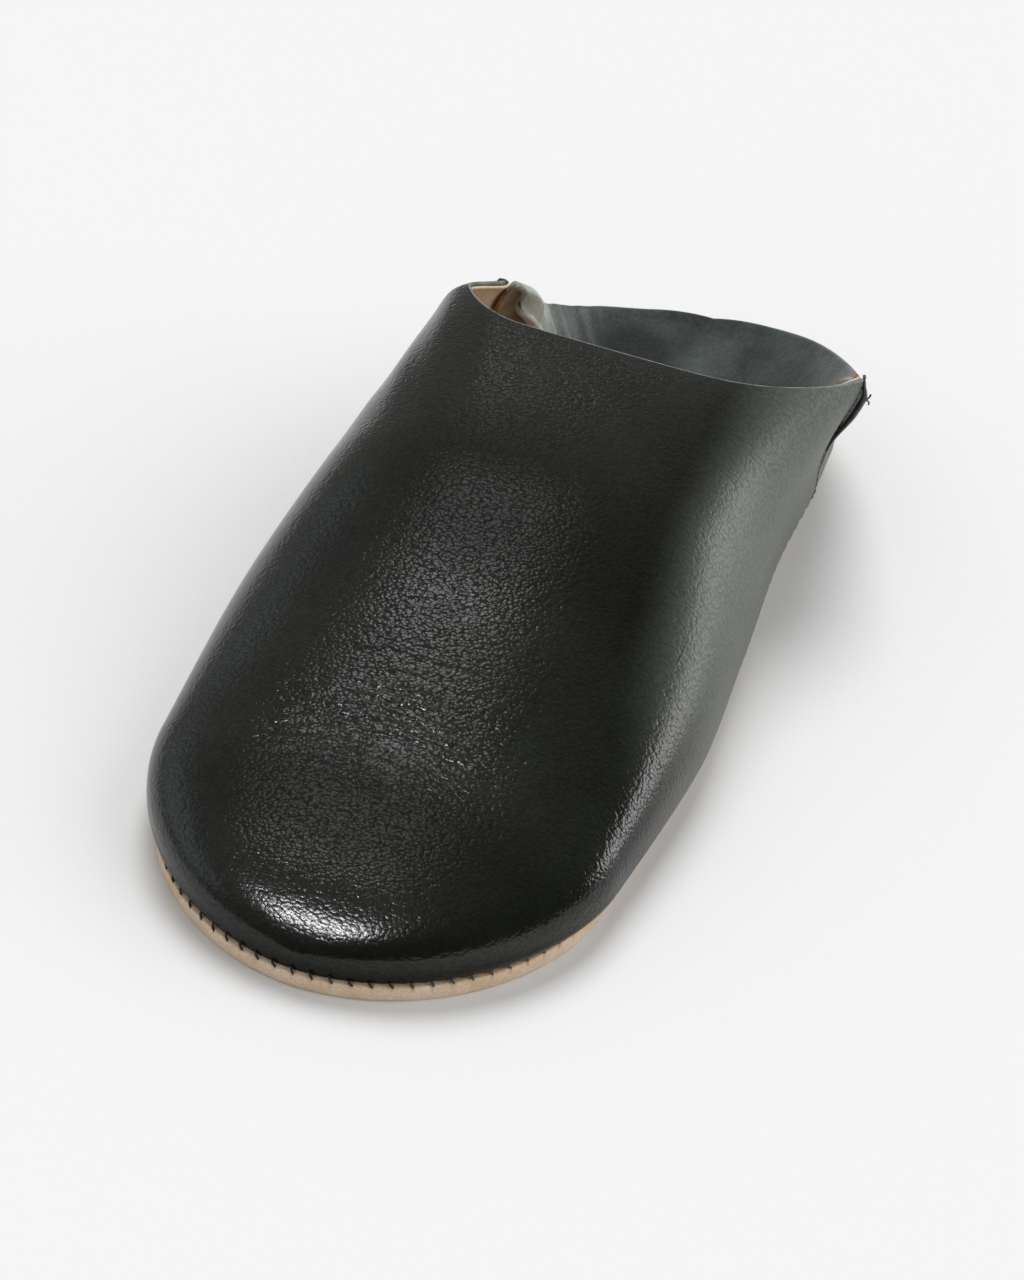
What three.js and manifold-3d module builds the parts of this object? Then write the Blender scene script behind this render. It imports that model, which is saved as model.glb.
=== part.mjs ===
import * as THREE from 'three';
import { mergeVertices } from 'three/addons/utils/BufferGeometryUtils.js';
import Module from 'manifold-3d';

// Babouche slipper: a flat leather outsole, a thin insole, and a hollow leather upper whose
// heel band is folded down and inward. Millimetres, +Z up, toe towards -Y.
// "back" is the distance from the toe tip towards the heel; "side" is +1 at +X and -1 at -X.

// Main sizes
const LENGTH = 244;
const SOLE_THICKNESS = 4;
const SOLE_EDGE = 0.5;
const INSOLE_THICKNESS = 1.8;
const WALL = 1.8;
const GAP = 0.3;

// Plan of the sole: how the toe and the heel close off
const TOE_LENGTH = 46;
const TOE_POWER = 1.9;
const HEEL_LENGTH = 40;
const HEEL_POWER = 2.1;
const FEATHER_INSET = 1;

// The vamp ends in a boxy arch: its middle, its two corners, and where each corner stands
const THROAT_MIDDLE = 162.5;
const SEAM_BACK = 185;
const CORNER_ACROSS = 43;
const THROAT_POWER = 4.6;

// The soft collar sways to +X as it nears the side seams: the right corner leans out over a long
// stretch, and the left one turns in sharply. "curve" is the lean's share from low to high.
const SWAY = {
  right: { start: 138, full: 190, most: 14, low: 14, high: 50, curve: (rise) => rise ** 2.1 },
  left: { start: 175.5, full: 185.5, most: 10.3, low: 6, high: 35, curve: ease },
};

// Sections across the last, a row for each: half width of the sole before the toe and heel
// close it, crown height, height of the widest line, bulge past the feather line, and how
// square the section is (2 is an ellipse).
const SECTIONS = [
  { back: 0, half: 50.4, crown: 18.6, widest: 7.0, bulge: 1.0, square: 2.95 },
  { back: 45, half: 51.0, crown: 27.5, widest: 8.4, bulge: 4.3, square: 2.7 },
  { back: 85, half: 51.4, crown: 42.0, widest: 10.7, bulge: 6.4, square: 2.46 },
  { back: 125, half: 47.0, crown: 54.8, widest: 13.2, bulge: 7.0, square: 2.85 },
  { back: 165, half: 40.2, crown: 56.6, widest: 15.2, bulge: 8.9, square: 4.2 },
  { back: 200, half: 38.6, crown: 57.6, widest: 15.8, bulge: 9.4, square: 5.0 },
  { back: 244, half: 37.3, crown: 57.6, widest: 15.8, bulge: 9.4, square: 5.0 },
];

// The heel band, a row for each fold station from a side seam (0) to the back of the heel (1):
// rim height on each side, how much of the seam's outward lean is left on each side, and the
// turned-in flap's free edge: its place across (share of the rim's), its back and its height.
const FOLDS = [
  { at: 0.0, rimRight: 49.4, rimLeft: 50.6, leanRight: 1.0, leanLeft: 1.0,
    edgeShare: 0.78, edgeBack: 185, edgeUp: 42 },
  { at: 0.08, rimRight: 44.6, rimLeft: 45.4, leanRight: 0.93, leanLeft: 1.3,
    edgeShare: 0.76, edgeBack: 190, edgeUp: 33 },
  { at: 0.18, rimRight: 38.8, rimLeft: 37.6, leanRight: 0.86, leanLeft: 1.1,
    edgeShare: 0.72, edgeBack: 194, edgeUp: 25 },
  { at: 0.38, rimRight: 28.5, rimLeft: 24.5, leanRight: 0.68, leanLeft: 0.5,
    edgeShare: 0.58, edgeBack: 200, edgeUp: 14.5 },
  { at: 0.59, rimRight: 21.5, rimLeft: 15.5, leanRight: 0.42, leanLeft: 0.28,
    edgeShare: 0.44, edgeBack: 203.5, edgeUp: 9.8 },
  { at: 0.8, rimRight: 15.5, rimLeft: 11.6, leanRight: 0.2, leanLeft: 0.16,
    edgeShare: 0.24, edgeBack: 204.5, edgeUp: 8.7 },
  { at: 1.0, rimRight: 11.4, rimLeft: 11.4, leanRight: 0.12, leanLeft: 0.12,
    edgeShare: 0.0, edgeBack: 204.5, edgeUp: 8.6 },
];
const FOLD_ROLL = 2.8;
const BAND_LAP = 1.2;
const BAND_INSET = 0.5;

// How finely the shell is faceted
const VAMP_STATIONS = 64;
const BAND_STATIONS = 44;
const TUCK_ROWS = 3;
const TUCK_TURN = 0.4 * Math.PI;
const BODY_ROWS = 12;
const ROW_POWER = 2.2;
const FLAP_ROWS = 9;
const PLATE_POINTS = 96;

const FEATHER_UP = SOLE_THICKNESS + GAP;

/** Eases from 0 to 1 as x goes from 0 to 1. */
function ease(x) {
  const t = THREE.MathUtils.clamp(x, 0, 1);
  return t * t * (3 - 2 * t);
}

/** A rounded close-off: 0 at x = 0, 1 from x = 1 on; the power sets how square it is. */
function closeOff(x, power) {
  const t = THREE.MathUtils.clamp(x, 0, 1);
  return (1 - (1 - t) ** power) ** (1 / power);
}

/** Slope of a table's column at one row, kept from overshooting its neighbours. */
function slopeAt(table, key, column, row) {
  const before = table[Math.max(row - 1, 0)];
  const here = table[row];
  const after = table[Math.min(row + 1, table.length - 1)];
  if (before === here || after === here) {
    return (after[column] - before[column]) / (after[key] - before[key]);
  }
  const rise = (here[column] - before[column]) / (here[key] - before[key]);
  const next = (after[column] - here[column]) / (after[key] - here[key]);
  return rise * next > 0 ? (2 * rise * next) / (rise + next) : 0;
}

/** Smooth value of a table's column at x, where key names the table's ordering column. */
function along(table, key, column, x) {
  const last = table.length - 2;
  let row = 0;
  while (row < last && x > table[row + 1][key]) {
    row += 1;
  }
  const span = table[row + 1][key] - table[row][key];
  const t = THREE.MathUtils.clamp((x - table[row][key]) / span, 0, 1);
  const start = table[row][column];
  const end = table[row + 1][column];
  const out = slopeAt(table, key, column, row) * span;
  const into = slopeAt(table, key, column, row + 1) * span;
  const near = (1 + 2 * t) * (1 - t) ** 2 * start + t * (1 - t) ** 2 * out;
  return near + t * t * (3 - 2 * t) * end + t * t * (t - 1) * into;
}

function section(column, back) {
  return along(SECTIONS, 'back', column, back);
}

/** Half width of the sole's outline, moved inward all round by an inset. */
function outlineHalf(back, inset) {
  const toe = closeOff((back - inset) / TOE_LENGTH, TOE_POWER);
  const heel = closeOff((LENGTH - inset - back) / HEEL_LENGTH, HEEL_POWER);
  return (section('half', back) - inset) * toe * heel;
}

/** Half width of the upper where it bulges most. */
function widestHalf(back) {
  return outlineHalf(back, FEATHER_INSET) + section('bulge', back) * closeOff(back / 10, 2);
}

/** Height of the upper's widest line. */
function widestUp(back) {
  const swell = closeOff(back / 14, 2);
  return FEATHER_UP + (section('widest', back) - SOLE_THICKNESS) * swell;
}

/** Height of the upper's outside over a point of the plan, before the collar's lean. */
function crownUp(across, back) {
  const square = section('square', back);
  const rise = closeOff(back / TOE_LENGTH, 2.6);
  const top = FEATHER_UP + (section('crown', back) - SOLE_THICKNESS) * rise;
  const low = widestUp(back);
  const share = Math.min(Math.abs(across) / Math.max(widestHalf(back), 0.001), 1);
  return low + (top - low) * (1 - share ** square) ** (1 / square);
}

/** Moves a point of the upper sideways where the collar sways. */
function sway(across, back, up) {
  const { start, full, most, low, high, curve } = across > 0 ? SWAY.right : SWAY.left;
  const near = ease((back - start) / (full - start));
  const rise = THREE.MathUtils.clamp((up - low) / (high - low), 0, 1.1);
  return across + most * near * curve(rise) * ease(Math.abs(across) / 25);
}

/** Evenly spaced points [half, back] along the inset outline, from one back to another. */
function edgeStations(inset, start, end, count) {
  const fine = 900;
  const points = [];
  for (let i = 0; i <= fine; i += 1) {
    const turn = (i / fine) * Math.PI;
    const back = start + ((end - start) * (1 - Math.cos(turn))) / 2;
    points.push(new THREE.Vector2(outlineHalf(back, inset), back));
  }
  const walked = [0];
  for (let i = 1; i <= fine; i += 1) {
    walked.push(walked[i - 1] + points[i].distanceTo(points[i - 1]));
  }
  const stations = [];
  let k = 0;
  for (let i = 0; i <= count; i += 1) {
    const goal = (walked[fine] * i) / count;
    while (k < fine - 1 && walked[k + 1] < goal) {
      k += 1;
    }
    const t = (goal - walked[k]) / (walked[k + 1] - walked[k]);
    stations.push(points[k].clone().lerp(points[k + 1], t));
  }
  return stations;
}

/** One feather-to-throat line of the vamp; share runs -1 (left seam), 0 (toe), 1 (right seam). */
function vampLine(share, back) {
  const side = Math.sign(share) || 1;
  const foot = outlineHalf(back, FEATHER_INSET);
  const wide = widestHalf(back);
  const wideUp = widestUp(back);
  const across = CORNER_ACROSS * Math.abs(share) ** 0.8;
  const throatBack = THROAT_MIDDLE
    + (SEAM_BACK - THROAT_MIDDLE) * (across / CORNER_ACROSS) ** THROAT_POWER;
  const line = [];
  for (let row = 0; row < TUCK_ROWS; row += 1) {
    const turn = (1 - row / TUCK_ROWS) * TUCK_TURN;
    const inward = ((wide - foot) * (1 - Math.cos(turn))) / (1 - Math.cos(TUCK_TURN));
    const drop = ((wideUp - FEATHER_UP) * Math.sin(turn)) / Math.sin(TUCK_TURN);
    line.push([wide - inward, back, wideUp - drop]);
  }
  for (let row = 0; row <= BODY_ROWS; row += 1) {
    const gone = (row / BODY_ROWS) ** ROW_POWER;
    const x = wide + (across - wide) * gone;
    const y = back + (throatBack - back) * gone;
    line.push([x, y, crownUp(x, y)]);
  }
  return line.map(([x, y, z]) => new THREE.Vector3(sway(side * x, y, z), y, z));
}

/** The vamp's outside as lines from the left seam round the toe to the right seam. */
function vampGrid() {
  const stations = edgeStations(FEATHER_INSET, FEATHER_INSET, SEAM_BACK, VAMP_STATIONS / 2);
  const grid = [];
  for (let i = -VAMP_STATIONS / 2; i <= VAMP_STATIONS / 2; i += 1) {
    const share = i / (VAMP_STATIONS / 2);
    grid.push(vampLine(share, stations[Math.abs(i)].y));
  }
  return grid;
}

/** The wall at a seam as offsets from the feather line: out and up, from feather to corner. */
function seamProfile(side) {
  const foot = outlineHalf(SEAM_BACK, FEATHER_INSET);
  return vampLine(side, SEAM_BACK).map((point) => ({
    out: Math.abs(point.x) - foot,
    up: point.z - FEATHER_UP,
  }));
}

/** The band's wall at a station: its own side's seam wall, evened out towards the heel. */
function bandProfile(side, at) {
  const other = seamProfile(-side);
  return seamProfile(side).map(({ out, up }, row) => ({
    out: out + (other[row].out - out) * 0.5 * ease(at),
    up,
  }));
}

/** One feather-to-flap-edge line of the heel band, at a station with its outward way. */
function bandLine(side, at, station, outward) {
  const profile = bandProfile(side, at);
  const tall = profile[profile.length - 1].up;
  const spread = along(FOLDS, 'at', side > 0 ? 'leanRight' : 'leanLeft', at);
  const rim = along(FOLDS, 'at', side > 0 ? 'rimRight' : 'rimLeft', at);
  const rise = (rim - FOLD_ROLL - FEATHER_UP) / tall;
  const wall = profile.map(({ out, up }) => new THREE.Vector3(
    station.x + outward.x * out * spread,
    station.y + outward.y * out * spread,
    FEATHER_UP + up * rise,
  ));
  const top = wall.pop();
  const edge = new THREE.Vector3(
    top.x * along(FOLDS, 'at', 'edgeShare', at),
    along(FOLDS, 'at', 'edgeBack', at),
    along(FOLDS, 'at', 'edgeUp', at),
  );
  return wall.concat(foldCurve(wall[wall.length - 1], top, edge));
}

/** Rolls over the rim from the wall's top and lies down to the flap's free edge. */
function foldCurve(before, top, edge) {
  const inward = new THREE.Vector3(edge.x - top.x, edge.y - top.y, 0);
  const reach = inward.length();
  inward.normalize();
  const step = Math.min(FOLD_ROLL, reach * 0.34);
  const crest = top.clone().addScaledVector(inward, step);
  crest.z += FOLD_ROLL;
  const drop = crest.z - edge.z;
  const shoulder = top.clone().addScaledVector(inward, step * 2.1);
  shoulder.z = crest.z - Math.min(FOLD_ROLL * 0.7, drop * 0.4);
  const lap = top.clone().lerp(edge, 0.55);
  lap.z = edge.z + (shoulder.z - edge.z) * 0.22;
  const curve = new THREE.CatmullRomCurve3([before, top, crest, shoulder, lap, edge]);
  const points = curve.getPoints(FLAP_ROWS * 5);
  return points.filter((_, i) => i >= FLAP_ROWS && (i - FLAP_ROWS) % 4 === 0);
}

/** The heel band's outside as lines from the right seam round the heel to the left seam. */
function bandGrid() {
  const inset = FEATHER_INSET + BAND_INSET;
  const half = BAND_STATIONS / 2;
  const stations = edgeStations(inset, SEAM_BACK - BAND_LAP, LENGTH - inset, half);
  const grid = [];
  for (let i = 0; i <= BAND_STATIONS; i += 1) {
    const side = i <= half ? 1 : -1;
    const k = i <= half ? i : BAND_STATIONS - i;
    const tangent = stations[Math.min(k + 1, half)].clone().sub(stations[Math.max(k - 1, 0)]);
    tangent.normalize();
    const outward = k === half ? new THREE.Vector2(0, 1)
      : new THREE.Vector2(tangent.y * side, -tangent.x);
    const station = new THREE.Vector2(stations[k].x * side, stations[k].y);
    grid.push(bandLine(side, k / half, station, outward));
  }
  return grid;
}

/** Unit normals of a grid of points, one for each, by the cross product of its two ways. */
function gridNormals(grid) {
  return grid.map((line, i) => line.map((_, j) => {
    const nextLine = grid[Math.min(i + 1, grid.length - 1)];
    const lastLine = grid[Math.max(i - 1, 0)];
    const along1 = nextLine[j].clone().sub(lastLine[j]);
    const along2 = line[Math.min(j + 1, line.length - 1)].clone().sub(line[Math.max(j - 1, 0)]);
    return along1.cross(along2).normalize();
  }));
}

/** A closed sheet: a grid of outside points, and the same grid moved in by the wall. */
function sheetGeometry(grid, wall) {
  const normals = gridNormals(grid);
  const lines = grid.length;
  const rows = grid[0].length;
  const positions = [];
  const place = (point) => positions.push(point.x, point.y, point.z);
  grid.forEach((line) => line.forEach(place));
  grid.forEach((line, i) => line.forEach((point, j) => {
    const inside = point.clone().addScaledVector(normals[i][j], -wall);
    if (j === 0) {
      inside.z = point.z;
    }
    place(inside);
  }));
  const outer = (i, j) => i * rows + j;
  const inner = (i, j) => lines * rows + i * rows + j;
  const index = [];
  const quad = (a, b, c, d) => index.push(a, b, c, a, c, d);
  for (let i = 0; i < lines - 1; i += 1) {
    for (let j = 0; j < rows - 1; j += 1) {
      quad(outer(i, j), outer(i + 1, j), outer(i + 1, j + 1), outer(i, j + 1));
      quad(inner(i, j), inner(i, j + 1), inner(i + 1, j + 1), inner(i + 1, j));
    }
    quad(outer(i, 0), inner(i, 0), inner(i + 1, 0), outer(i + 1, 0));
    quad(outer(i, rows - 1), outer(i + 1, rows - 1), inner(i + 1, rows - 1), inner(i, rows - 1));
  }
  for (let j = 0; j < rows - 1; j += 1) {
    quad(outer(0, j), outer(0, j + 1), inner(0, j + 1), inner(0, j));
    quad(outer(lines - 1, j), inner(lines - 1, j), inner(lines - 1, j + 1),
      outer(lines - 1, j + 1));
  }
  const geometry = new THREE.BufferGeometry();
  geometry.setAttribute('position', new THREE.Float32BufferAttribute(positions, 3));
  geometry.setIndex(index);
  return geometry;
}

/** A plate cut to the inset outline, with a short slope round its lower and upper edges. */
function plateGeometry(inset, low, high, slope) {
  const half = edgeStations(inset, inset, LENGTH - inset, PLATE_POINTS / 2);
  const loop = half.slice(0, -1);
  for (let i = half.length - 1; i > 0; i -= 1) {
    loop.push(new THREE.Vector2(-half[i].x, half[i].y));
  }
  const middle = new THREE.Vector2(0, LENGTH / 2);
  const levels = [
    { up: low, inset: slope },
    { up: low + slope, inset: 0 },
    { up: high - slope / 2, inset: 0 },
    { up: high, inset: slope / 2 },
  ];
  const positions = [];
  levels.forEach(({ up, inset }) => loop.forEach((point) => {
    const pull = 1 - inset / Math.max(point.distanceTo(middle), 1);
    const moved = point.clone().sub(middle).multiplyScalar(pull).add(middle);
    positions.push(moved.x, moved.y, up);
  }));
  const index = [];
  const count = loop.length;
  for (let level = 0; level < levels.length - 1; level += 1) {
    for (let i = 0; i < count; i += 1) {
      const next = (i + 1) % count;
      const a = level * count + i;
      const b = level * count + next;
      index.push(a, b, b + count, a, b + count, a + count);
    }
  }
  const top = (levels.length - 1) * count;
  THREE.ShapeUtils.triangulateShape(loop, []).forEach(([a, b, c]) => {
    index.push(a, c, b, top + a, top + b, top + c);
  });
  const geometry = new THREE.BufferGeometry();
  geometry.setAttribute('position', new THREE.Float32BufferAttribute(positions, 3));
  geometry.setIndex(index);
  return geometry;
}

const wasm = await Module();
wasm.setup();

/** A solid for cutting and joining, from a closed geometry. */
function solidFrom(geometry) {
  const merged = mergeVertices(geometry, 1e-4);
  return new wasm.Manifold(new wasm.Mesh({
    numProp: 3,
    vertProperties: new Float32Array(merged.attributes.position.array),
    triVerts: new Uint32Array(merged.index.array),
  }));
}

function geometryFrom(solid) {
  const mesh = solid.getMesh();
  const geometry = new THREE.BufferGeometry();
  geometry.setAttribute('position', new THREE.Float32BufferAttribute(mesh.vertProperties, 3));
  geometry.setIndex(Array.from(mesh.triVerts));
  return geometry;
}

/** Adds one named piece to the slipper. */
function addPiece(group, name, geometry, color, roughness) {
  geometry.computeVertexNormals();
  const material = new THREE.MeshStandardMaterial({ color, roughness, metalness: 0 });
  const mesh = new THREE.Mesh(geometry, material);
  mesh.name = name;
  group.add(mesh);
}

function outsoleGeometry() {
  return plateGeometry(0, 0, SOLE_THICKNESS, SOLE_EDGE);
}

function insoleGeometry() {
  const inset = FEATHER_INSET + BAND_INSET + WALL + 2 * GAP;
  return plateGeometry(inset, FEATHER_UP, FEATHER_UP + INSOLE_THICKNESS, SOLE_EDGE / 2);
}

function upperGeometry() {
  const vamp = solidFrom(sheetGeometry(vampGrid(), WALL));
  const band = solidFrom(sheetGeometry(bandGrid(), WALL));
  return geometryFrom(vamp.add(band));
}

const group = new THREE.Group();
addPiece(group, 'outsole', outsoleGeometry(), 0xd8b491, 0.7);
addPiece(group, 'insole', insoleGeometry(), 0xd2ab86, 0.75);
addPiece(group, 'upper', upperGeometry(), 0x25272a, 0.35);

// The origin is the middle of the slipper's box, on the floor.
const middle = new THREE.Box3().setFromObject(group).getCenter(new THREE.Vector3());
group.position.set(-middle.x, -middle.y, 0);
group.updateMatrixWorld(true);

export default group;
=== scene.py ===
"""Babouche slipper: a glazed goat leather upper, folded down at the heel, on a flat leather sole.

The shape is worked out in millimetres in the shoe's own sizes: "back" is the distance from the
toe tip towards the heel, "across" is the distance from the middle line, positive on the right
side, and "up" is the height above the floor.
"""

import logging
import math
from collections.abc import Callable
from dataclasses import dataclass
from enum import Enum
from functools import partial

import bmesh
import bpy
import numpy as np
from bpy.types import Material, Node, NodeSocket, NodeTree, Object
from mathutils import Matrix, Quaternion, Vector

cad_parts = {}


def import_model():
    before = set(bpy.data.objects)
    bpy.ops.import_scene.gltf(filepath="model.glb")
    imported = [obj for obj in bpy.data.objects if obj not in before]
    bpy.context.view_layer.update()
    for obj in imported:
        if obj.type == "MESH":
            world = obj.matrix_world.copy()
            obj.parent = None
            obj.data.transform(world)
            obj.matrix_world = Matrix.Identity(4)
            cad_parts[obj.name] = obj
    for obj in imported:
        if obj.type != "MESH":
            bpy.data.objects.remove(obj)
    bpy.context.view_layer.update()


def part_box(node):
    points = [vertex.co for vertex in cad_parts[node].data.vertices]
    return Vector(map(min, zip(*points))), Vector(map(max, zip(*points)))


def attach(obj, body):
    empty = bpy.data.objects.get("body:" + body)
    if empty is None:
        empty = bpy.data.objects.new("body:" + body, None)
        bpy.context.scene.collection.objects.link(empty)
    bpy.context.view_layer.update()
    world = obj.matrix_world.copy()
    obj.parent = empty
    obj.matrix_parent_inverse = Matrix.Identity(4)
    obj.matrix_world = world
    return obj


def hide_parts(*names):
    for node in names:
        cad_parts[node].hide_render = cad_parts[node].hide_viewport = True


LOG = logging.getLogger("babouche")
MM = 0.001
# Millimetres from one overcast stitch to the next, on the sole and on the upper's foot
STITCH_PITCH = 4.3

Column = tuple[float, ...]
Triple = tuple[float, float, float]
Face = tuple[int, ...]
AddNode = Callable[..., Node]
Given = dict[str, NodeSocket]


class Side(Enum):
    """A side of the slipper, with the sign of its across distance."""

    RIGHT = 1
    LEFT = -1


# ---------------------------------------------------------------------------------------------
# Curves and tables
# ---------------------------------------------------------------------------------------------


def ease(x: np.ndarray | float) -> np.ndarray:
    """Eases from 0 to 1 as x goes from 0 to 1."""
    t = np.clip(x, 0.0, 1.0)
    return t * t * (3.0 - 2.0 * t)


def close_off(x: np.ndarray | float, power: float) -> np.ndarray:
    """A rounded close-off: 0 at x = 0, and 1 from x = 1 on.

    Args:
        x: Distance from the end, as a share of the close-off's length.
        power: How square the close-off is; 2 is an ellipse.

    Returns:
        The share of the full width at each x.
    """
    t = np.clip(x, 0.0, 1.0)
    return (1.0 - (1.0 - t) ** power) ** (1.0 / power)


def unit(vectors: np.ndarray) -> np.ndarray:
    """Each row vector brought to length one."""
    length = np.linalg.norm(vectors, axis=-1, keepdims=True)
    return vectors / np.maximum(length, 1e-9)


@dataclass(frozen=True)
class Table:
    """A short table with named columns, read along its key column on a smooth curve."""

    key: Column
    columns: dict[str, Column]

    def slopes(self, column: str) -> np.ndarray:
        """Slope at each row, kept from overshooting the rows beside it.

        Args:
            column: The column's name.

        Returns:
            One slope for each row.
        """
        x = np.array(self.key)
        y = np.array(self.columns[column])
        secant = np.diff(y) / np.diff(x)
        slope = np.empty(len(x))
        slope[0], slope[-1] = secant[0], secant[-1]
        product = secant[:-1] * secant[1:]
        total = secant[:-1] + secant[1:]
        safe = np.where(product > 0, total, 1.0)
        slope[1:-1] = np.where(product > 0, 2.0 * product / safe, 0.0)
        return slope

    def along(self, column: str, at: np.ndarray | float) -> np.ndarray:
        """The column's value at places along the key.

        Args:
            column: The column's name.
            at: Places along the key column.

        Returns:
            The values on a monotone cubic curve through the rows.
        """
        x = np.array(self.key)
        y = np.array(self.columns[column])
        slope = self.slopes(column)
        place = np.asarray(at, float)
        row = np.clip(np.searchsorted(x, place, side="left") - 1, 0, len(x) - 2)
        span = x[row + 1] - x[row]
        t = np.clip((place - x[row]) / span, 0.0, 1.0)
        near = (1 + 2 * t) * (1 - t) ** 2 * y[row] + t * (1 - t) ** 2 * slope[row] * span
        return near + t * t * (3 - 2 * t) * y[row + 1] + t * t * (t - 1) * slope[row + 1] * span


def curve_through(points: np.ndarray, count: int) -> np.ndarray:
    """A centripetal curve through control points.

    Args:
        points: Control points, shape (controls, lines, 3).
        count: Points made in each span.

    Returns:
        Points along the curve, shape (spans * count + 1, lines, 3).
    """
    ends = np.concatenate([2 * points[:1] - points[1:2], points, 2 * points[-1:] - points[-2:-1]])
    gaps = np.linalg.norm(np.diff(ends, axis=0), axis=-1, keepdims=True) ** 0.5
    gaps = np.maximum(gaps, 1e-3)
    made = []
    for span in range(len(points) - 1):
        p0, p1, p2, p3 = ends[span : span + 4]
        d0, d1, d2 = gaps[span : span + 3]
        out = ((p1 - p0) / d0 - (p2 - p0) / (d0 + d1) + (p2 - p1) / d1) * d1
        into = ((p2 - p1) / d1 - (p3 - p1) / (d1 + d2) + (p3 - p2) / d2) * d1
        for step in range(count):
            t = step / count
            near = (1 + 2 * t) * (1 - t) ** 2 * p1 + t * (1 - t) ** 2 * out
            made.append(near + t * t * (3 - 2 * t) * p2 + t * t * (t - 1) * into)
    made.append(points[-1])
    return np.array(made)


# ---------------------------------------------------------------------------------------------
# The last: the true shape that the slipper is drawn over
# ---------------------------------------------------------------------------------------------


@dataclass(frozen=True)
class Last:
    """The slipper's last, in millimetres."""

    length: float = 244.0
    sole: float = 4.0
    feather_up: float = 4.3
    feather_inset: float = 1.0
    toe_length: float = 46.0
    toe_power: float = 1.9
    heel_length: float = 40.0
    heel_power: float = 2.1
    throat_middle: float = 162.5
    seam_back: float = 185.0
    corner_across: float = 43.0
    throat_power: float = 4.6
    tuck_turn: float = 0.4 * math.pi
    sway_right: float = 14.0
    sway_left: float = 10.3
    sections: Table = Table(
        key=(0, 45, 85, 125, 165, 200, 244),
        columns={
            "half": (50.4, 51.0, 51.4, 47.0, 40.2, 38.6, 37.3),
            "crown": (18.6, 27.5, 42.0, 54.8, 56.6, 57.6, 57.6),
            "widest": (7.0, 8.4, 10.7, 13.2, 15.2, 15.8, 15.8),
            "bulge": (1.0, 4.3, 6.4, 7.0, 8.9, 9.4, 9.4),
            "square": (2.95, 2.7, 2.46, 2.85, 4.2, 5.0, 5.0),
        },
    )

    def outline_half(self, back: np.ndarray | float, inset: float) -> np.ndarray:
        """Half width of the sole's outline, moved inward all round.

        Args:
            back: Distance from the toe tip.
            inset: How far inward.

        Returns:
            The half width at each back.
        """
        back = np.asarray(back, float)
        toe = close_off((back - inset) / self.toe_length, self.toe_power)
        heel = close_off((self.length - inset - back) / self.heel_length, self.heel_power)
        return (self.sections.along("half", back) - inset) * toe * heel

    def widest_half(self, back: np.ndarray) -> np.ndarray:
        """Half width of the upper where it bulges most."""
        bulge = self.sections.along("bulge", back) * close_off(back / 10.0, 2)
        return self.outline_half(back, self.feather_inset) + bulge

    def widest_up(self, back: np.ndarray) -> np.ndarray:
        """Height of the upper's widest line."""
        swell = close_off(back / 14.0, 2)
        return self.feather_up + (self.sections.along("widest", back) - self.sole) * swell

    def crown_up(self, across: np.ndarray, back: np.ndarray) -> np.ndarray:
        """Height of the upper's outside over points of the plan, before the collar leans.

        Args:
            across: Distances from the middle line.
            back: Distances from the toe tip.

        Returns:
            The heights.
        """
        square = self.sections.along("square", back)
        rise = close_off(back / self.toe_length, 2.6)
        top = self.feather_up + (self.sections.along("crown", back) - self.sole) * rise
        low = self.widest_up(back)
        share = np.minimum(np.abs(across) / np.maximum(self.widest_half(back), 0.001), 1.0)
        return low + (top - low) * (1.0 - share**square) ** (1.0 / square)

    def sway(self, across: np.ndarray, back: np.ndarray, up: np.ndarray) -> np.ndarray:
        """Across distances once the soft collar has swayed towards the right side.

        Args:
            across: Distances from the middle line.
            back: Distances from the toe tip.
            up: Heights.

        Returns:
            The swayed across distances.
        """
        # The right wall leans out slowly, most at its top; the left one only close to its corner
        high = np.clip((up - 14.0) / 36.0, 0.0, 1.1) ** 2.1
        right = self.sway_right * ease((back - 138.0) / 52.0) * high
        left = self.sway_left * ease((back - 175.5) / 10.0) * ease((up - 6.0) / 29.0)
        return across + np.where(across > 0, right, left) * ease(np.abs(across) / 25.0)

    def edge_points(self, inset: float, start: float, end: float, count: int) -> np.ndarray:
        """Evenly spaced points along one side of the inset outline.

        Args:
            inset: How far inside the sole's outline.
            start: Back of the first point.
            end: Back of the last point.
            count: Number of steps.

        Returns:
            Rows of half width and back, shape (count + 1, 2).
        """
        turn = np.linspace(0.0, math.pi, 4000)
        back = start + (end - start) * (1.0 - np.cos(turn)) / 2.0
        points = np.stack([self.outline_half(back, inset), back], axis=1)
        walked = np.concatenate([[0.0], np.cumsum(np.linalg.norm(np.diff(points, axis=0), axis=1))])
        goals = np.linspace(0.0, walked[-1], count + 1)
        return np.stack([np.interp(goals, walked, points[:, i]) for i in (0, 1)], axis=1)

    def ring(self, inset: float, count: int) -> np.ndarray:
        """Points round the whole inset outline, counter-clockwise seen from above.

        Args:
            inset: How far inside the sole's outline.
            count: Number of points; an even number.

        Returns:
            Across and back of each point, shape (count, 2).
        """
        half = self.edge_points(inset, inset, self.length - inset, count // 2)
        left = half[-1:0:-1] * np.array([-1.0, 1.0])
        return np.concatenate([half[:-1], left])


LAST = Last()


# ---------------------------------------------------------------------------------------------
# Meshes
# ---------------------------------------------------------------------------------------------


def to_frame(points: np.ndarray) -> np.ndarray:
    """Points in the shoe's millimetres moved to the frame's metres.

    Args:
        points: Rows of across, back and up.

    Returns:
        Rows of x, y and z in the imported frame.
    """
    low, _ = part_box("outsole")
    return np.asarray(points, float) * MM + np.array([0.0, low.y, low.z])


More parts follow.
